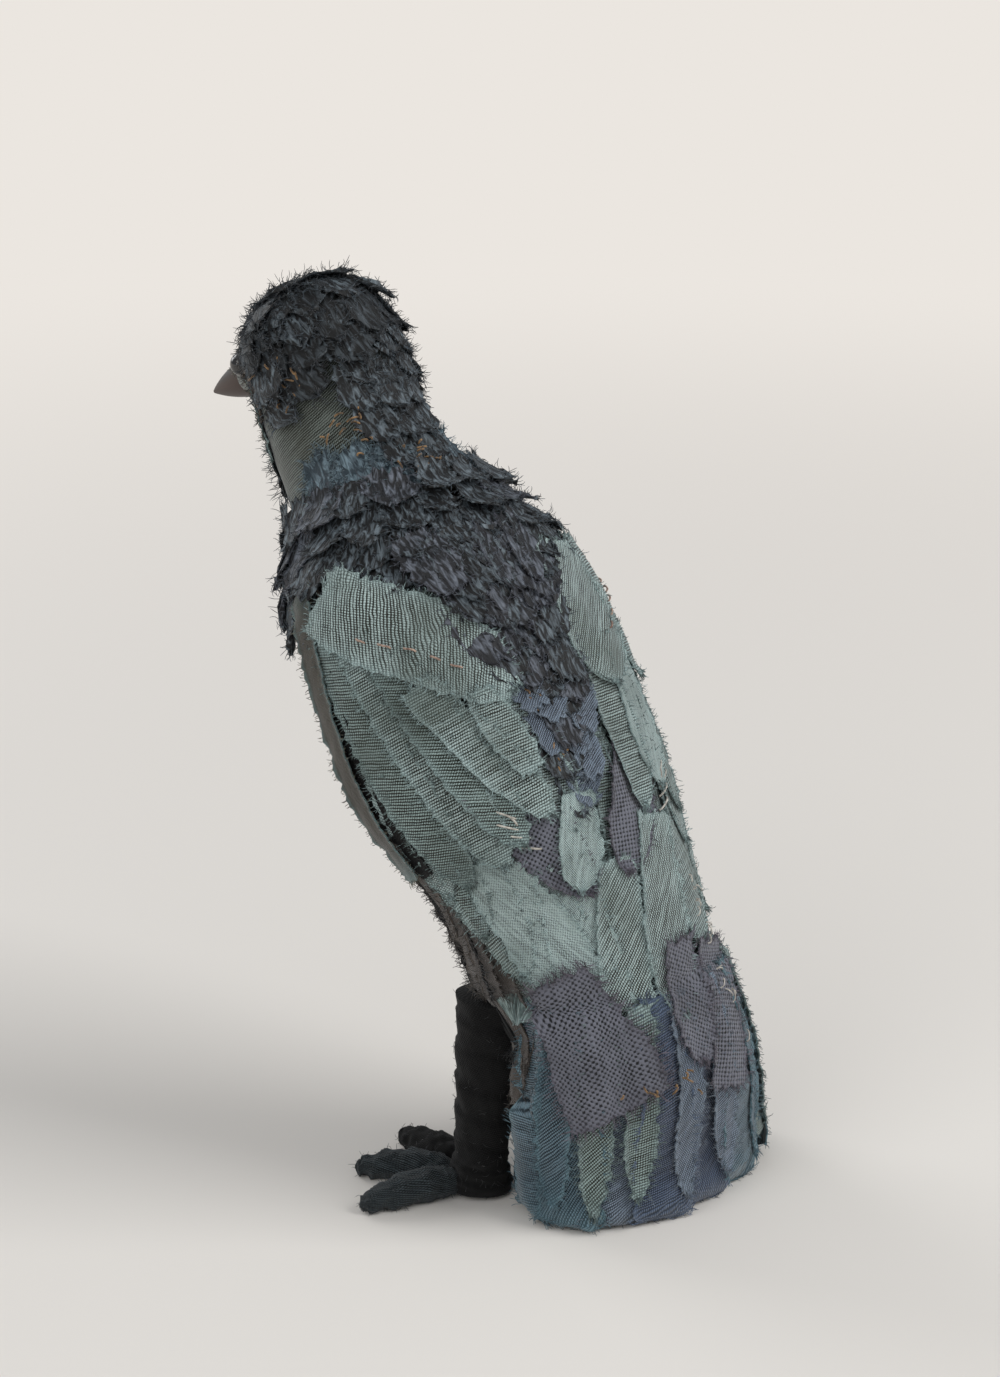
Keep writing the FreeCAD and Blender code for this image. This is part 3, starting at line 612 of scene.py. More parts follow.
def scrap(name, top, foot, width, cloth, outline="tongue", lift=0.5, turn=0.0, skin=body_skin, torn=0.9,
          fringe=2.6, density=1.0, flare=0.4, wrinkle=0.45, wild=0.5, thick=0.4, mesh_size=1.2):
    """One scrap of cloth, from its top to its foot, laid on a form; sizes in millimetres.

    Lift is how far it stands off the form and flare how much farther at its foot, turn is the
    weave's turn in radians, and fringe, density and wild are the frays' length, number and curl.
    """
    top, foot = mm(*top), mm(*foot)
    reach = foot - top
    across_count = max(6, int(width / mesh_size))
    along_count = max(6, int(reach.length / MM / mesh_size))
    deselect()
    bpy.ops.mesh.primitive_grid_add(x_subdivisions=across_count, y_subdivisions=along_count, size=2)
    cut = bpy.context.object
    cut.name = name
    seed = random_seed_place(100)
    flat, torn_share = lay_cloth(cut, top, reach, width, outline, lift, torn, flare, wrinkle, skin, seed)
    cosine, sine = math.cos(turn), math.sin(turn)
    lay_map(cut, [(x * cosine - y * sine + seed.x, x * sine + y * cosine + seed.y) for x, y in flat])
    cut.data.attributes.new("torn_edge", "FLOAT", "POINT").data.foreach_set("value", torn_share)
    cut.data.materials.append(cloth)
    cut.data.materials.append(YARNS[cloth])
    face = cut.data.polygons[len(cut.data.polygons) // 2]
    if face.normal.dot(skin.nearest(face.center)[1]) < 0:
        cut.data.flip_normals()
    starts = edge_starts(cut, across_count, along_count, density * mesh_size * 1.9)
    apply_modifier(cut, "SOLIDIFY", thickness=thick * MM, offset=-1)
    if starts and fringe:
        fray(cut, cloth, starts, skin, fringe * MM, (lift + 0.3) * MM, wild)
    pick(cut)
    bpy.ops.object.shade_smooth_by_angle(angle=math.radians(50))
    return cut


# %% Sewing scraps down
def grounded(piece):
    """Brings every point that has gone below the floor back up to it."""
    for vertex in piece.data.vertices:
        vertex.co.z = max(vertex.co.z, 0.1 * MM)


def sewn(name, cuts, body, nodes=()):
    """Joins scraps into one piece that rides on a body and stands for frame nodes."""
    pick(*cuts)
    if len(cuts) > 1:
        bpy.ops.object.join()
    piece = bpy.context.object
    piece.name = name
    grounded(piece)
    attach(piece, body)
    if nodes:
        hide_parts(*nodes)
    print(name, len(piece.data.polygons), "faces")
    return piece


def mirror(point, side):
    """A point given for the left side, or its twin on the right."""
    x, y, z = point
    return (x, y, z) if side > 0 else (6.0 - x, y, z)


def stitch(name, pairs, thread, skin, lift, body, radius=0.28):
    """Stitches on the surface: each is a short thread from one point to another, a little proud."""
    curve = round_curve(name, radius, 1)
    for first, last in pairs:
        first, last = mm(*first), mm(*last)
        spline = curve.splines.new("NURBS")
        spline.points.add(4)
        for target, share, rise in zip(spline.points, (0.0, 0.1, 0.5, 0.9, 1.0), (-0.8, 0.5, 1.0, 0.5, -0.8)):
            spot, out = skin.nearest(first.lerp(last, share))
            target.co = (*(spot + out * (lift + rise * 0.45) * MM + scatter(0.15) * MM), 1.0)
        spline.order_u = 3
        spline.use_endpoint_u = True
    piece = as_mesh(curve, thread)
    bpy.ops.object.shade_smooth()
    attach(piece, body)
    print(name, len(pairs), "stitches")


# %% [markdown]
# ## The stuffed body
# Under the scraps is a bag of dark cloth, packed hard and puckered by the sewing, and the neck is a
# tube of fine twill. The frame's smooth solids give their shape. A copy of each is melted to even
# faces and pushed in and out by two cloud patterns, wide for the stuffing and small for the
# puckers, and it stands for the smooth solid.

# %% Bag, neck and tail bag
STUFFING_SIZE, PUCKER_SIZE = 0.03, 0.006
CLOTH_PER_TURN = 26.0


def stuffed(name, node, cloth, voxel, hollow, pucker):
    """Puckered copy of a stuffed solid, with a woven map wrapped round its height."""
    bag = melted(name, [node], voxel, 3)
    for size, depth in ((STUFFING_SIZE, hollow), (PUCKER_SIZE, pucker)):
        clouds = bpy.data.textures.new(f"{name}_clouds", "CLOUDS")
        clouds.noise_scale = size
        apply_modifier(bag, "DISPLACE", texture=clouds, texture_coords="GLOBAL", strength=depth * MM,
                       mid_level=0.6)
    layer = bag.data.uv_layers.new(name="cut")
    centre = sum((vertex.co for vertex in bag.data.vertices), Vector()) / len(bag.data.vertices)
    for polygon in bag.data.polygons:
        middle_turn = math.atan2(polygon.center.y - centre.y, polygon.center.x - centre.x)
        for index in polygon.loop_indices:
            point = bag.data.vertices[bag.data.loops[index].vertex_index].co - centre
            turn = math.atan2(point.y, point.x)
            turn += 2 * math.pi * round((middle_turn - turn) / (2 * math.pi))
            layer.data[index].uv = (turn * CLOTH_PER_TURN, point.z / MM)
    bag.data.materials.append(cloth)
    pick(bag)
    bpy.ops.object.shade_smooth()
    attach(bag, "torso")
    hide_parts(node)


stuffed("body_bag", "body_cover", brown_cotton, 1.2, 0.8, 0.5)
stuffed("neck_tube", "neck_cover", neck_twill, 0.9, 0.5, 0.25)
stuffed("tail_bag", "tail_core", black_cotton, 1.2, 0.8, 0.5)

# %% [markdown]
# ## Head
# The crown is worn velvet in small torn pieces, laid like roof tiles from the nape upwards, so
# that each hides the stitches of the one below. Their loose pile stands up in tufts. The cheeks are
# small scraps of brown and olive cotton, the brow keeps the neck's twill, and tufts of velvet hang
# under the chin.

# %% Crown tiles
# places are in millimetres from here on
HEAD, HEAD_RADIUS = Vector((3.0, -51.0, 218.0)), 22
EYES = [middle_of(node) / MM for node in ("left_eye", "right_eye")]
CLEAR_OF_EYES = 17
CROWN_COUNTS = (5, 7, 8, 8, 7, 6, 4)


def crown_tile(way, long, wide, cloth, **finish):
    """A scrap on the head: way points out to its top, and it hangs back and down from there."""
    way = way.normalized()
    fall = Vector((0.0, 0.75, -0.66))
    fall = (fall - way * fall.dot(way)).normalized()
    start = HEAD + way * HEAD_RADIUS
    return scrap("crown_tile", start - fall * long * 0.35, start + fall * long * 0.65, wide, cloth, **finish)


def crown_tiles():
    """Tiles over the upper head, from the nape upwards and forwards."""
    tiles = []
    for row, count in enumerate(CROWN_COUNTS):
        pitch = math.radians(-38 + 25 * row)
        for column in range(count):
            turn = math.radians(-108 + 216 * (column + 0.5 + 0.3 * (row % 2)) / count)
            way = Vector((math.sin(turn), math.cos(turn) * math.cos(pitch),
                          math.sin(pitch) * math.cos(turn * 0.5)))
            way.z += 0.15
            if way.z < -0.25 and way.y < 0.35:
                continue
            lies = HEAD + way.normalized() * HEAD_RADIUS + Vector((0, 2, -3))
            if min((lies - eye).length for eye in EYES) < CLEAR_OF_EYES:
                continue
            tiles.append(crown_tile(way, random.uniform(13, 18), random.uniform(9, 13),
                                    random.choice([crown_velvet, crown_velvet, black_velvet]),
                                    lift=0.9 + 0.12 * row, flare=random.uniform(0.8, 4.0), torn=2.4,
                                    fringe=3.5, density=0.8, wild=0.9, wrinkle=0.9))
    return tiles


sewn("crown_velvet", crown_tiles(), "torso", ["crown_cap"])

# %% Nape strip
# the middle of each row of strips and its width, from the shoulders up
NAPE = [((4.5, -4, 195), 11), ((4, -9, 202), 17), ((3.5, -13, 210), 23), ((3, -18, 219), 29),
        ((3, -27, 232), 34)]


def nape_rows():
    """Crinkled velvet down the back of the neck, narrowing to a point."""
    strips = []
    for row, ((x, y, z), wide) in enumerate(NAPE):
        count = max(1, round(wide / 9))
        for column in range(count):
            across = wide * ((column + 0.5) / count - 0.5)
            top = (x + across * 1.15, y - abs(across) * 0.25, z + 3)
            foot = (x + across * 0.85, y + 6 - abs(across) * 0.2, z - 11)
            strips.append(scrap("nape_strip", top, foot, 11, black_velvet, lift=0.8 + 0.15 * row, torn=1.4,
                                fringe=2.4, flare=random.uniform(0.5, 2.0), wrinkle=1.1, density=0.45))
    return strips


sewn("nape_velvet", nape_rows(), "torso", ["nape_patch"])

# %% Cheeks and felted patch
# top, foot, width and cloth on the left; the right has their twins
CHEEKS = [
    ((15, -64, 214), (24, -46, 203), 9, brown_cotton),
    ((16, -66, 208), (24, -48, 197), 9, olive_cotton),
    ((20, -58, 221), (24, -40, 209), 10, brown_cotton),
    ((17, -62, 203), (23, -44, 192), 9, shaded_twill),
]
FELT = [
    ((19, -14, 199), (21, -2, 187), 13),
    ((12, -9, 199), (13, 4, 187), 12),
    ((-8, -10, 200), (-10, 2, 187), 12),
    ((24, -22, 196), (28, -9, 184), 11),
]
felt = [scrap("felt", top, foot, wide, felt_nap, lift=0.6, torn=2.4, fringe=3.0, wrinkle=0.8, density=1.6,
              wild=0.9) for top, foot, wide in FELT]
cheeks = [scrap("cheek", mirror(top, side), mirror(foot, side), wide, cloth, lift=0.35, torn=1.2,
                fringe=2.4, density=0.7, wild=0.6, flare=0.2)
          for side in WINGS.values() for top, foot, wide, cloth in CHEEKS]
sewn("cheek_twill", cheeks + felt, "torso")

# %% Brow and chin
BROWS = [
    ((3, -66, 226), (3, -76, 217), 13),
    ((11, -66, 222), (8, -74, 211), 9),
    ((-5, -66, 222), (-2, -74, 211), 9),
    ((3, -66, 200), (3, -74, 209), 10),
]
CHIN_TOPS = [(12, -57, 196), (6, -61, 197), (-3, -61, 196), (16, -50, 192)]
brows = [scrap("brow", top, foot, wide, neck_twill, outline="fan", lift=0.5, torn=1.0, fringe=1.8,
               density=0.8, wrinkle=0.3) for top, foot, wide in BROWS]
sewn("brow_twill", brows, "torso")
tufts = [scrap("chin_tuft", (x, y, z), (x * 0.9 + 0.4, y - 1, z - 15), 7, black_velvet, outline="leaf",
               lift=0.8, flare=2.2, fringe=5.0, density=1.6, wild=0.7) for x, y, z in CHIN_TOPS]
sewn("chin_velvet", tufts, "torso", ["chin_tuft"])

# %% [markdown]
# ## Beak and eyes
# The beak is one carved and rubbed piece, and its frame node already has the right shape, so it
# only gets its finish: darker where it faces up and reddish brown where it faces down, painted light
# and shade of its two faces. The eyes are black glass beads that mirror the window. Each is set in a
# rolled strip of brown cloth, made here as a bent torus.

# %% Horn and glass
def horn():
    """Rubbed horn, darker where it faces up and reddish brown where it faces down, painted light and shade by
    facing; fine grain along the beak, a soft gloss.
    """
    material = new_material("rubbed_horn")
    grain = drawn_out(material, place_on_piece(material), (900.0, 120.0, 900.0))
    lines = speckle(material, grain, 1.0, 4.0).outputs["Fac"]
    normal = add_node(material, "ShaderNodeNewGeometry").outputs["Normal"]
    up = add_node(material, "ShaderNodeSeparateXYZ", links={0: normal}).outputs["Z"]
    # painted light and shade: the colour follows which way the surface faces
    painted_facing = spread(material, worked(material, "MULTIPLY_ADD", lines, 0.35, up), 0.0, 0.85)
    return surface(material, {"Roughness": 0.42, "Specular IOR Level": 0.3},
                   {"Base Color": two_tone(material, painted_facing, "#3a2a24", "#1b1c1f"),
                    "Normal": bumps(material, lines, 0.15, 0.0001)})


def glass_bead():
    """Black pressed glass: nearly black inside, a mirror-smooth skin, faint dust."""
    material = new_material("black_glass_bead")
    dust = speckle(material, place_on_piece(material), 1500.0, 3.0).outputs["Fac"]
    return surface(material, {"Base Color": linear("#08080a"), "IOR": 1.52, "Specular IOR Level": 0.9},
                   {"Roughness": spread(material, dust, 0.4, 0.8, 0.03, 0.16)})


def drawn_wire():
    """Annealed steel wire with faint lines from the drawing die."""
    material = new_material("annealed_steel_wire")
    lines = speckle(material, place_on_piece(material), 2500.0, 2.0).outputs["Fac"]
    return surface(material, {"Base Color": linear("#6b6b6b"), "Metallic": 1.0},
                   {"Roughness": spread(material, lines, 0.0, 1.0, 0.3, 0.5)})


def wadding():
    """Packed dark wool wadding, hidden inside the bird."""
    material = new_material("wool_wadding")
    tufts = speckle(material, place_on_piece(material), 300.0, 5.0).outputs["Fac"]
    return surface(material, {"Roughness": 0.95, "Sheen Weight": 0.2},
                   {"Base Color": two_tone(material, tufts, "#26231f", "#4a443c")})


FINISHES = [
    (horn(), ["beak"]),
    (glass_bead(), ["left_eye", "right_eye"]),
    (drawn_wire(), ["left_leg_wire", "right_leg_wire"]),
    (wadding(), ["body_stuffing", "head_stuffing"]),
    (dark_thread, ["left_wing_stitches", "right_wing_stitches"]),
]
for finish, nodes in FINISHES:
    for node in nodes:
        thing = node_object(node)
        thing.data.materials.clear()
        thing.data.materials.append(finish)
        print(node, "in", finish.name)

# %% Rolled lids
LID_RADIUS, LID_ROLL = 3.75, 0.85
LID_TURN = math.radians(32)


def lid(word, side):
    """Rolled strip of brown cloth round a bead, pulled to an almond."""
    out = Vector((side * math.cos(LID_TURN), -math.sin(LID_TURN), 0.0))
    turn = out.to_track_quat("Z", "Y").to_matrix().to_4x4()
    middle = middle_of(f"{word}_eyelid") + out * 0.5 * MM
    deselect()
    bpy.ops.mesh.primitive_torus_add(major_radius=LID_RADIUS * MM, minor_radius=LID_ROLL * MM,
                                     major_segments=48, minor_segments=14, generate_uvs=True)
    ring = bpy.context.object
    ring.name = f"{word}_rolled_lid"
    ring.data.uv_layers[0].name = "cut"
    for corner in ring.data.uv_layers[0].data:
        corner.uv = (corner.uv[0] * 24.0, corner.uv[1] * 6.0)
    for vertex in ring.data.vertices:
        place = vertex.co.copy()
        place.y *= 0.86
        place += place.normalized() * 0.25 * MM * noise.noise(place * 900)
        vertex.co = middle + (turn @ place)
    ring.data.materials.append(brown_cotton)
    pick(ring)
    bpy.ops.object.shade_smooth()
    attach(ring, "torso")
    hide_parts(f"{word}_eyelid")
    print(ring.name, len(ring.data.polygons), "faces")


for word, side in WINGS.items():
    lid(word, side)

# %% [markdown]
# ## Collar and spine
# Round the shoulders hang four rows of torn black velvet, and more of it runs down the spine in a V
# that ends between the wings. The rows are laid from the lowest up, as roof tiles are, and golden
# brown thread shows where the tips were caught down.

# %% Mantle
# each row's height, place along y, half width, half depth, length and number of tiles
MANTLE_ROWS = [(172, -5, 38, 27, 19, 23), (177, -9, 35, 25, 18, 21), (182, -13, 31, 23, 17, 18),
               (187, -17, 27, 21, 14, 15)]
SHOULDER_LEAN = math.radians(26.5)


def round_the_shoulders(angle, height, shift, wide, deep):
    """A point on a leaning ring round the shoulders; angle 0 is left and 90 is the back."""
    turn = math.radians(angle)
    along = deep * math.sin(turn)
    return (3.0 + wide * math.cos(turn), shift + along * math.cos(SHOULDER_LEAN),
            height + along * math.sin(SHOULDER_LEAN))


def mantle():
    """Rows of torn velvet round the shoulders, each foot hanging down and a little back."""
    tiles = []
    for row, (height, shift, wide, deep, long, count) in enumerate(MANTLE_ROWS):
        for number in range(count):
            angle = 360 * (number + 0.5 * (row % 2)) / count + random.uniform(-4, 4)
            x, y, z = round_the_shoulders(angle, height, shift, wide, deep)
            drop = long * random.uniform(0.85, 1.1)
            foot = (3 + (x - 3) * 1.12 + random.uniform(-4, 4), y + 0.38 * drop,
                    z - 0.85 * drop + random.uniform(-2, 2))
            tiles.append(scrap("mantle_tile", (x, y, z), foot, random.uniform(9, 14),
                               random.choice([black_velvet, black_velvet, plum_velvet]),
                               lift=1.0 + 0.5 * row, flare=random.uniform(1.0, 4.0), torn=2.2, fringe=3.0,
                               density=0.45, wild=0.8, wrinkle=1.0))
    return tiles


sewn("mantle_velvet", mantle(), "torso", ["mantle_ruff"])

# %% Spine
# the middle of each row of tiles and its width, from the V's point up
SPINE = [((8, 62, 126), 9), ((7, 58, 133), 15), ((6, 53, 141), 20), ((7, 48, 148), 24), ((8, 44, 155), 27),
         ((9, 39, 162), 32), ((9, 33, 169), 38), ((8, 27, 176), 44)]
LINED_ROWS = 4


def spine_rows():
    """Velvet and lining tiles down the spine, fewer in each row."""
    tiles = []
    for row, ((x, y, z), wide) in enumerate(SPINE):
        count = 1 + round(wide / 7)
        for column in range(count):
            across = wide * ((column + 0.5) / count - 0.5) + random.uniform(-1.5, 1.5)
            cloth = random.choice([black_velvet, plum_velvet] + [slate_lining] * (row < LINED_ROWS))
            drop = random.uniform(-3, 3)
            top = (x - across, y - abs(across) * 0.3 - 4, z + 7 + drop)
            foot = (x - across * 0.7, y + 6 - abs(across) * 0.25, z - 12 + drop)
            tiles.append(scrap("spine_tile", top, foot, random.uniform(8, 14), cloth,
                               outline=random.choice(["tongue", "leaf"]), lift=1.6 + 0.25 * row,
                               flare=random.uniform(0.6, 2.0), torn=1.6, fringe=2.2, density=0.4,
                               wrinkle=0.8))
    return tiles


sewn("spine_velvet", spine_rows(), "torso", ["spine_patch"])

# %% [markdown]
# ## Breast, belly and the sheet between the wings
# The breast is three pieces of the neck's twill, and the belly is brown and black cotton in large
# overlapping scraps. Between the wings lie torn lengths of the grey-green cloth.

# %% Breast
breast = [scrap("breast", (3, -38, 160), (3, -4, 92), 46, neck_twill, lift=0.5, outline="wing", torn=1.0,
                wrinkle=0.9)]
for x in (-19, 25):
    breast.append(scrap("breast", (x, -30, 172), (x * 0.9, 0, 104), 28, neck_twill, lift=0.9, torn=1.0,
                        turn=0.6, wrinkle=0.8))
sewn("breast_twill", breast, "torso", ["breast_patch"])

# %% Belly
# top, foot and width on the left; the last three hang beside the leg
FLANK = [
    ((42, 6, 128), (36, 22, 94), 24),
    ((38, 22, 112), (30, 38, 74), 22),
    ((30, 8, 96), (24, 26, 62), 24),
    ((34, 34, 96), (24, 47, 62), 18),
    ((16, 6, 92), (12, 24, 52), 24),
    ((26, 26, 76), (20, 38, 44), 22),
    ((12, 22, 60), (8, 40, 30), 22),
    ((43, 36, 100), (33, 48, 44), 13),
    ((39, 44, 92), (31, 56, 30), 13),
    ((37, 50, 90), (29, 61, 44), 12),
]


def flank(side):
    """Brown and black scraps down the side of the belly to the leg."""
    return [scrap("flank", mirror(top, side), mirror(foot, side), wide,
                  random.choice([brown_cotton, black_cotton, brown_cotton]), lift=0.6 + 0.25 * (number % 3),
                  torn=1.6, fringe=3.4, turn=random.uniform(-0.4, 0.4), wrinkle=0.8)
            for number, (top, foot, wide) in enumerate(FLANK)]


for word, side in WINGS.items():
    sewn(f"{word}_flank_cloth", flank(side), "torso", [f"{word}_flank_patch"])

# %% Sheet between the wings
# top, foot, width, turn of the weave and cloth, from the lowest scrap up
BACK_SCRAPS = [
    ((-3, 58, 130), (-2, 84, 64), 16, 0.0, black_cotton),
    ((4, 60, 130), (8, 84, 56), 26, 0.2, shaded_twill),
    ((-3, 58, 132), (-1, 74, 94), 11, 0.7, shaded_twill),
    ((24, 68, 92), (14, 82, 52), 20, -0.4, green_twill),
    ((19, 69, 102), (11, 84, 50), 18, 0.5, green_basket),
    ((2, 70, 100), (7, 86, 50), 15, -0.3, green_twill),
    ((10, 65, 119), (14, 72, 95), 12, 0.1, green_basket),
]
back_cuts = [scrap("back_sheet", top, foot, wide, cloth, lift=0.4 + 0.45 * number, turn=turn, torn=0.7,
                   fringe=2.0, flare=0.3)
             for number, (top, foot, wide, turn, cloth) in enumerate(BACK_SCRAPS)]
sewn("back_sheet", back_cuts, "torso", ["saddle_patch"])

# %% [markdown]
# ## Wings
# Each wing is a sheet of ribbed twill hemmed at the shoulder, with smaller scraps sewn on it: a
# large shoulder patch, rows of torn coverts that lean back as they go down, long feathers and a
# patch of purple-brown sacking. A folded olive strip edges the front, with a black strip under it
# that is painted shadow for the gap behind it. The sheets and the strips are twins, but each wing
# has scraps of its own.

# %% Wing scraps
# piece, top, foot, width, outline, cloth, lift and turn of the weave, from the lowest scrap up
LEFT_SCRAPS = [
    ("feather_middle", (43, 45, 120), (26, 63, 72), 17, "tongue", green_twill, 0.9, 0.3),
    ("feather_front", (47, 38, 127), (33, 55, 82), 15, "tongue", shaded_twill, 0.9, 0.8),
    ("feather_front", (44, 24, 140), (40, 48, 92), 15, "tongue", green_twill, 0.9, 1.4),
    ("feather_rear", (36, 56, 104), (14, 79, 62), 19, "tongue", green_basket, 1.4, -0.2),
    ("sacking", (34, 54, 127), (10, 71, 93), 16, "tongue", sacking, 1.5, 0.5),
    ("feather_rear", (20, 49, 148), (12, 66, 110), 12, "tongue", green_twill, 1.6, 0.9),
    ("coverts", (48, 11, 157), (36, 53, 97), 15, "tongue", shaded_twill, 1.6, 1.1),
    ("coverts", (46, 20, 156), (31, 61, 103), 15, "tongue", green_twill, 2.05, 0.8),
    ("coverts", (43, 28, 154), (26, 62, 108), 14, "tongue", shaded_twill, 2.5, 1.3),
    ("coverts", (40, 36, 148), (19, 64, 115), 12, "tongue", green_twill, 2.95, 1.0),
    ("patch", (46, 6, 166), (19, 49, 145), 24, "tongue", green_twill, 3.1, 0.15),
    ("coverts", (28, 46, 146), (21, 59, 126), 10, "leaf", green_twill, 3.3, 0.9),
]
RIGHT_SCRAPS = [
    ("feather_front", (-39, 34, 122), (-30, 66, 74), 17, "tongue", shaded_twill, 0.9, 0.6),
    ("feather_middle", (-30, 50, 122), (-24, 76, 70), 18, "tongue", green_twill, 1.2, 0.1),
    ("sacking", (-14, 60, 126), (-1, 72, 96), 17, "tongue", sacking, 1.5, 0.5),
    ("feather_middle", (-30, 45, 140), (-31, 66, 96), 17, "tongue", green_twill, 1.5, 0.2),
    ("feather_rear", (-14, 67, 108), (-9, 86, 57), 17, "tongue", green_twill, 1.9, -0.4),
    ("coverts", (-42, 18, 150), (-38, 52, 104), 16, "tongue", green_twill, 1.5, 0.9),
    ("coverts", (-34, 34, 150), (-30, 62, 104), 18, "tongue", shaded_twill, 1.9, 0.2),
    ("coverts", (-13, 48, 147), (-12, 67, 110), 13, "tongue", green_twill, 2.4, 0.6),
    ("coverts", (-24, 42, 150), (-22, 66, 114), 15, "tongue", green_basket, 2.6, 0.2),
    ("patch", (-34, 14, 168), (-33, 42, 136), 24, "tongue", green_twill, 2.9, 0.4),
    ("patch", (-18, 25, 173), (-15, 51, 140), 25, "tongue", green_twill, 3.2, -0.3),
]
# what each piece of a wing stands for in the frame
WING_NODES = {
    "patch": ["shoulder_patch"],
    "feather_front": ["long_feather_front"],
    "feather_middle": ["long_feather_middle"],
    "feather_rear": ["long_feather_rear"],
    "coverts": ["covert_front", "covert_rear"],
    "sacking": ["hopsack_patch"],
}

# %% Wing sheets
SHEET_TOP, SHEET_FOOT, SHEET_WIDE = (36, 14, 174), (24, 72, 64), 64
SHEET_LONG = (Vector(SHEET_TOP) - Vector(SHEET_FOOT)).length


def wing(word, side, scraps):
    """All the cloths of one wing, from the sheet up."""
    def laid(label, top, foot, wide, cloth, **finish):
        return scrap(f"{word}_{label}", top, foot, wide, cloth, skin=dressed_skin, **finish)

    # the sheet is of the shaded twill, painted shade where it shows between the scraps
    sheet = laid("sheet", mirror(SHEET_TOP, side), mirror(SHEET_FOOT, side), SHEET_WIDE, shaded_twill,
                 outline="wing", lift=0.15, torn=0.8, flare=0.2, wrinkle=0.5, fringe=0)
    sheet = sewn(f"{word}_wing_sheet", [sheet], f"{word}_wing", [f"{word}_wing_panel"])
    SHEET_WIDE * SHEET_LONG * MM * MM * sum(OUTLINES["wing"](t / 50) for t in range(51)) / 51
    cuts = {}
    for label, top, foot, wide, outline, cloth, lift, turn in scraps:
        cuts.setdefault(label, []).append(laid(label, top, foot, wide, cloth, outline=outline, lift=lift,
                                               turn=turn, torn=1.1, fringe=1.9, flare=0.3))
    for label, nodes in WING_NODES.items():
        sewn(f"{word}_{label}", cuts[label], f"{word}_wing", [f"{word}_{node}" for node in nodes])
    # the second, black strip lies under the olive rim and shows behind it: painted shadow for the gap between
    # rim and coverts
    edge = [laid("rim", mirror((45, -4, 169), side), mirror((42, 37, 95), side), 8, olive_cotton,
                 outline="band", lift=2.4, turn=0.3, torn=0.5, fringe=1.6, flare=1.2, mesh_size=1.0),
            laid("rim", mirror((47, 1, 164), side), mirror((42, 42, 97), side), 5, black_cotton,
                 outline="band", lift=1.0, torn=0.4, fringe=0, mesh_size=0.8)]
    sewn(f"{word}_rim_cloth", edge, f"{word}_wing", [f"{word}_rim"])


wing("left", 1, LEFT_SCRAPS)
wing("right", -1, RIGHT_SCRAPS)

# %% Darning and tacking threads
TACKS = [((45, 20, 158), (43.5, 22, 157)), ((42, 25, 157), (40, 27.5, 156)), ((38, 30, 156), (36, 32, 155)),
         ((34, 35, 154), (32.5, 37, 153)), ((31, 39, 152), (29, 41, 151))]
DARNS = [((31, 57, 117), (27, 61, 115)), ((32, 57, 114), (26, 63, 112)), ((30, 60, 111), (25, 64, 110)),
         ((28, 62, 108), (23, 66, 107)), ((29, 60, 116), (27, 61, 113))]
for word, side in WINGS.items():
    for name, pairs, thread, lift in (("tacks", TACKS, pink_thread, 3.5),
                                      ("darning", DARNS, white_thread, 2.6)):
        twins = [(mirror(first, side), mirror(last, side)) for first, last in pairs]
        stitch(f"{word}_{name}", twins, thread, dressed_skin, lift, f"{word}_wing")


# %% Scattered stitches
def scattered(name, centre, reach, count, long, skin, lift, thread=gold_thread, radius=0.28):
    """Small stitches scattered round a place, each in its own direction."""
    pairs = []
    for _ in range(count):
        start = Vector(centre) + Vector([random.uniform(-1, 1) * share for share in reach])
        way = scatter(1).normalized()
        pairs.append((start, start + way * random.uniform(0.6, 1.0) * long))
    stitch(name, pairs, thread, skin, lift, "torso", radius=radius)


scattered("nape_stitches", (6, -2, 192), (6, 5, 5), 16, 3.0, body_skin, 2.4)
scattered("nape_edge_stitches", (17, -14, 204), (4, 7, 6), 14, 3.0, body_skin, 2.0)
scattered("cheek_stitches", (21, -38, 214), (3, 8, 8), 14, 3.5, body_skin, 1.6)
scattered("spine_stitches", (11, 50, 146), (5, 6, 7), 12, 2.8, body_skin, 2.8)
scattered("spine_tip_stitches", (11, 60, 129), (3, 3, 4), 8, 3.0, body_skin, 2.4)

# %% [markdown]
# ## Tail
# Eight strips of blue, teal, green and grey cloth fan out to the ground, each with a rough hem, and
# narrower scraps fill the gaps. Where they leave the body, three patches of sacking with long loose
# threads cover their tops.

# %% Vanes
# cloth and frame slot of each strip, in the order of the frame's blades
VANES = [
    (teal_cotton, "teal_cloth"),
    (teal_cotton, "hopsack_cloth"),
    (slate_lining, "twill_cloth"),
    (navy_cotton, "teal_cloth"),
    (navy_cotton, "navy_cloth"),
    (teal_cotton, "teal_cloth"),
    (shaded_twill, "twill_cloth"),
    (teal_cotton, "teal_cloth"),
]
VANE_TOP, VANE_FOOT, VANE_WIDE, GAP_WIDE = 62, 0.9, 17, 8.5
TAIL_MIDDLE = (-13, 60)


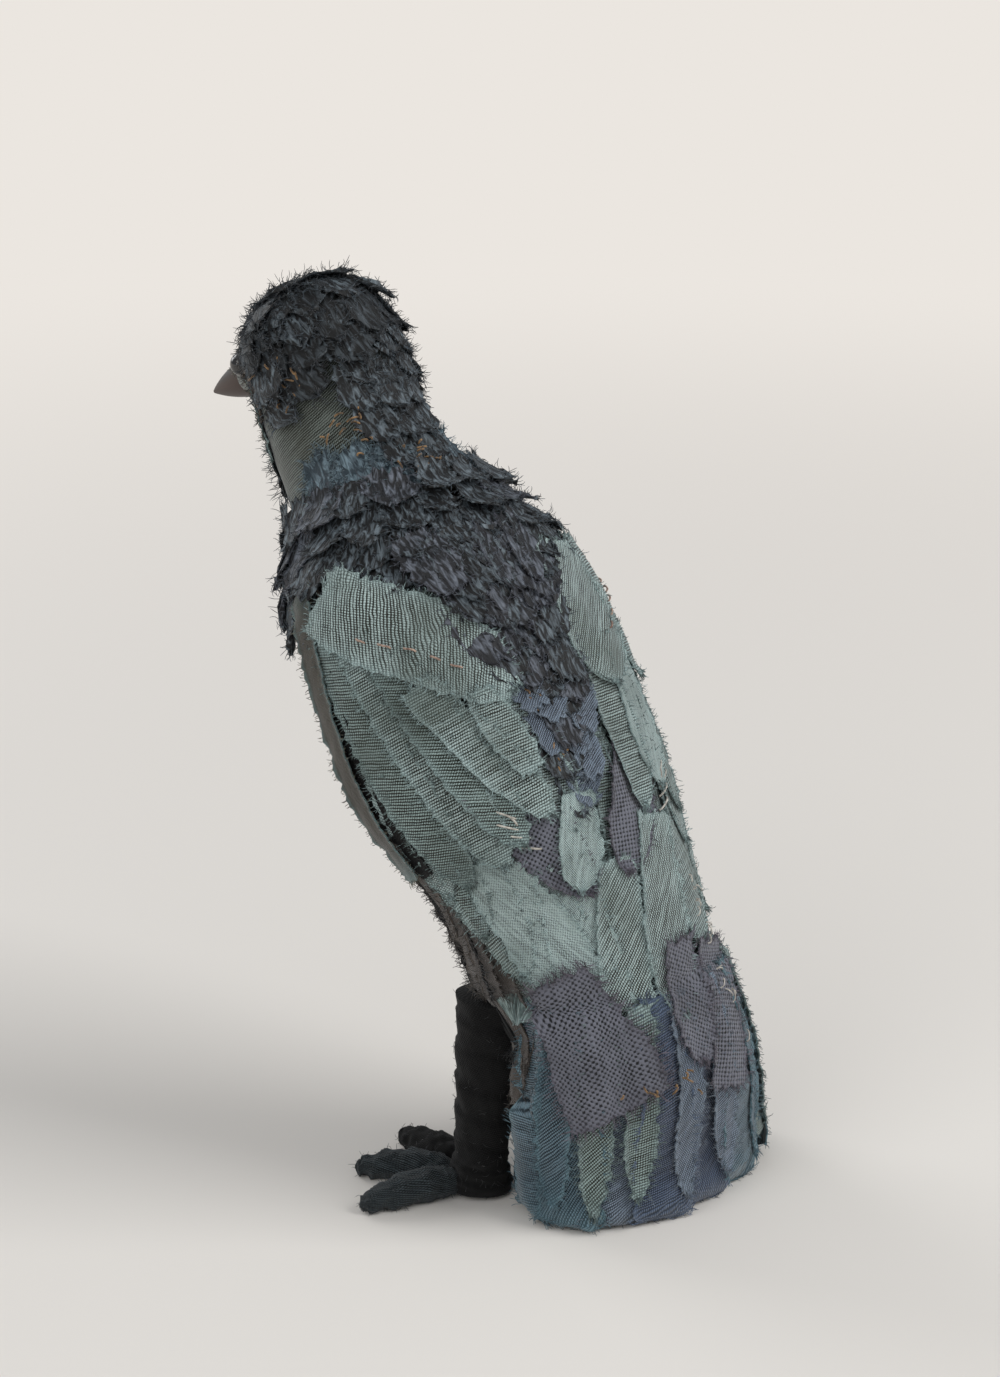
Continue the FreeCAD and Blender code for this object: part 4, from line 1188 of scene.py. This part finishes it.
def vane(number, cloth):
    """A strip over one blade of the frame, with a narrower one tucked beside it."""
    node = f"tail_blade_{number + 1}"
    low, high = (Vector(corner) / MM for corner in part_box(node))
    middle = (low + high) / 2
    way = Vector((middle.x - TAIL_MIDDLE[0], middle.y - TAIL_MIDDLE[1], 0)).normalized()
    foot = Vector((middle.x + way.x * 3.5, middle.y + way.y * 3.5, VANE_FOOT))
    top = Vector((middle.x - way.x * 2.0, middle.y - way.y * 2.0 - 2, VANE_TOP))
    strips = [scrap("vane", top, foot, VANE_WIDE, cloth, outline="fan", lift=1.0 + 0.8 * (number % 2),
                    torn=1.5, fringe=2.4, turn=random.uniform(-0.6, 0.6), flare=1.0, skin=dressed_skin,
                    wrinkle=0.8)]
    beside = Vector((-way.y, way.x, 0)) * 6.5
    strips.append(scrap("vane", top + beside, foot + beside + Vector((0, 0, random.uniform(2, 9))), GAP_WIDE,
                        random.choice([shaded_twill, teal_cotton, slate_lining, teal_cotton]), lift=2.3,
                        torn=1.2, fringe=2.4, turn=random.uniform(-0.6, 0.6), flare=0.8, skin=dressed_skin))
    sewn(f"tail_vane_{number + 1}", strips, "torso", [node])


for number, (cloth, slot) in enumerate(VANES):
    vane(number, cloth)

# %% Sacking over the tail's root
patches = [
    scrap("root_patch", (22, 71, 72), (13, 87, 36), 27, sacking, outline="fan", lift=3.4, torn=1.2,
          fringe=4.0, turn=0.2, density=1.4, skin=dressed_skin),
    scrap("root_patch", (-29, 76, 70), (-22, 91, 34), 14, sacking, outline="band", lift=2.6, torn=1.2,
          fringe=3.0, turn=0.9, skin=dressed_skin),
    scrap("root_patch", (-14, 82, 76), (-12, 89, 44), 15, sacking, lift=2.9, torn=1.2, fringe=3.0,
          turn=-0.3, skin=dressed_skin),
]
sewn("tail_root_sacking", patches, "torso", ["tail_root_patch"])
scattered("tail_stitches", (2, 86, 40), (12, 3, 3), 10, 3.0, dressed_skin, 4.6)
scattered("sacking_ends", (-28, 84, 66), (2, 2, 26), 16, 4.0, dressed_skin, 4.2, thread=white_thread,
          radius=0.18)

# %% [markdown]
# ## Legs and feet
# Each leg is wire wound with strips of black cloth from the thigh to the foot, and each toe is
# wound the same way from its root to its rounded tip. The wound strip overlaps itself, so a tube is
# rolled from a grid, and its radius steps out at the edge of every turn of the strip.

# %% Wound tubes
ROUND_COUNT, LONG_COUNT = 40, 64


def wind(tube, line, radii, pitch, step, seed):
    """Rolls a grid round a line of points, and gives each point's place on the flat strip.

    Radii are in millimetres, one for each point of the line. The strip climbs one pitch a turn
    and stands one step higher at its edge.
    """
    total = sum((b - a).length for a, b in zip(line, line[1:])) / MM
    axis = (line[-1] - line[0]).normalized()
    side = axis.orthogonal().normalized()
    other = axis.cross(side)
    flat = []
    for vertex in tube.data.vertices:
        turn, share = math.pi * (vertex.co.x + 1), (vertex.co.y + 1) / 2
        place = share * (len(line) - 1)
        index = min(int(place), len(line) - 2)
        part = place - index
        centre = line[index].lerp(line[index + 1], part)
        radius = radii[index] * (1 - part) + radii[index + 1] * part
        sway = 1.4 * noise.noise(seed + Vector((math.cos(turn), math.sin(turn), share * 6)))
        ramp = ((share * total + sway) / pitch + turn / (2 * math.pi)) % 1.0
        rough = noise.noise(seed + Vector((math.cos(turn) * 2, math.sin(turn) * 2, share * 14)))
        if 0.02 < share < 0.98:
            radius = max(radius + step * (ramp - 0.5) + 0.8 * rough, 0.05)
        else:
            radius *= 0.55
        vertex.co = centre + (side * math.cos(turn) + other * math.sin(turn)) * radius * MM
        vertex.co.z = max(vertex.co.z, 0.35 * MM)
        flat.append((turn * 6.0, share * total))
    return flat, total


def wound(name, line, radii, cloth, pitch, step, node):
    """Tube of wound cloth with a closed seam and closed ends, and a few frays."""
    deselect()
    bpy.ops.mesh.primitive_grid_add(x_subdivisions=ROUND_COUNT, y_subdivisions=LONG_COUNT, size=2)
    tube = bpy.context.object
    tube.name = name
    flat, total = wind(tube, line, radii, pitch, step, random_seed_place(50))
    lay_map(tube, [(x + y * 0.4, y - x * 0.4) for x, y in flat])
    pick(tube)
    bpy.ops.object.mode_set(mode="EDIT")
    bpy.ops.mesh.select_all(action="SELECT")
    bpy.ops.mesh.remove_doubles(threshold=0.00002)
    bpy.ops.mesh.select_non_manifold()
    bpy.ops.mesh.edge_face_add()
    bpy.ops.mesh.select_all(action="SELECT")
    bpy.ops.mesh.normals_make_consistent(inside=False)
    bpy.ops.object.mode_set(mode="OBJECT")
    tube.data.materials.append(cloth)
    tube.data.materials.append(YARNS[cloth])
    starts = []
    for _ in range(int(total * 3)):
        polygon = random.choice(tube.data.polygons)
        starts.append((polygon.center.copy(), (polygon.normal * 0.5 + scatter(1)).normalized()))
    fray(tube, cloth, starts, Skin(tube), 2.6 * MM, 0.25 * MM, 0.8, radius=0.06)
    bpy.ops.object.shade_smooth_by_angle(angle=math.radians(60))
    grounded(tube)
    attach(tube, "torso")
    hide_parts(node)
    print(name, round(total, 1), "mm long")


# %% Legs and toes
LEG_SHARES, LEG_RADII = (0.16, 0.5, 0.86), [9.4, 7.4, 8.4, 9.8]
# distance from the sole and height, and the radius there
TOE_LINE = ((5.5, 3.6), (11, 4.4), (17, 4.6), (26, 4.1), (33, 2.9), (35.5, 2.4))
TOE_RADII = [3.0, 4.3, 4.9, 4.2, 2.9, 1.2]
TOES = [("inner", black_cotton, "dark_cloth"), ("middle", toe_cotton, "dark_cloth"),
        ("outer", toe_cotton, "teal_cloth")]


def far_point(node, centre):
    """The corner of a node's mesh that is farthest from a point, on the ground plane."""
    points = [vertex.co for vertex in node_object(node).data.vertices]
    return max(points, key=lambda p: (Vector((p.x, p.y, 0)) - centre).length)


def leg_and_toes(word):
    """One leg from its sole to the hip, and the three toes round the sole."""
    sole = Vector(next(m["pos_m"] for m in frame["record"]["mounts"] if m["name"] == f"{word}_sole"))
    hip = max((vertex.co for vertex in node_object(f"{word}_leg_wire").data.vertices), key=lambda p: p.z)
    line = [sole + mm(0, 0, 0.4)] + [sole.lerp(hip, share) for share in LEG_SHARES]
    wound(f"{word}_leg_cloth", line, LEG_RADII, black_cotton, 7.5, 0.8, f"{word}_leg_wrap")
    for toe_word, cloth, slot in TOES:
        node = f"{word}_{toe_word}_toe"
        tip = far_point(node, sole)
        way = Vector((tip.x - sole.x, tip.y - sole.y, 0)).normalized()
        line = [sole + way * reach * MM + mm(0, 0, height) for reach, height in TOE_LINE]
        wound(f"{node}_cloth", line, TOE_RADII, cloth, 6.0, 0.7, node)


for word in WINGS:
    leg_and_toes(word)

# %% [markdown]
# ## Finish
# The forms have done their work. What is left is named, rides on its body and stands for its node.

# %% Clear up and finish
for form in (body_form, dressed_form):
    bpy.data.objects.remove(form)
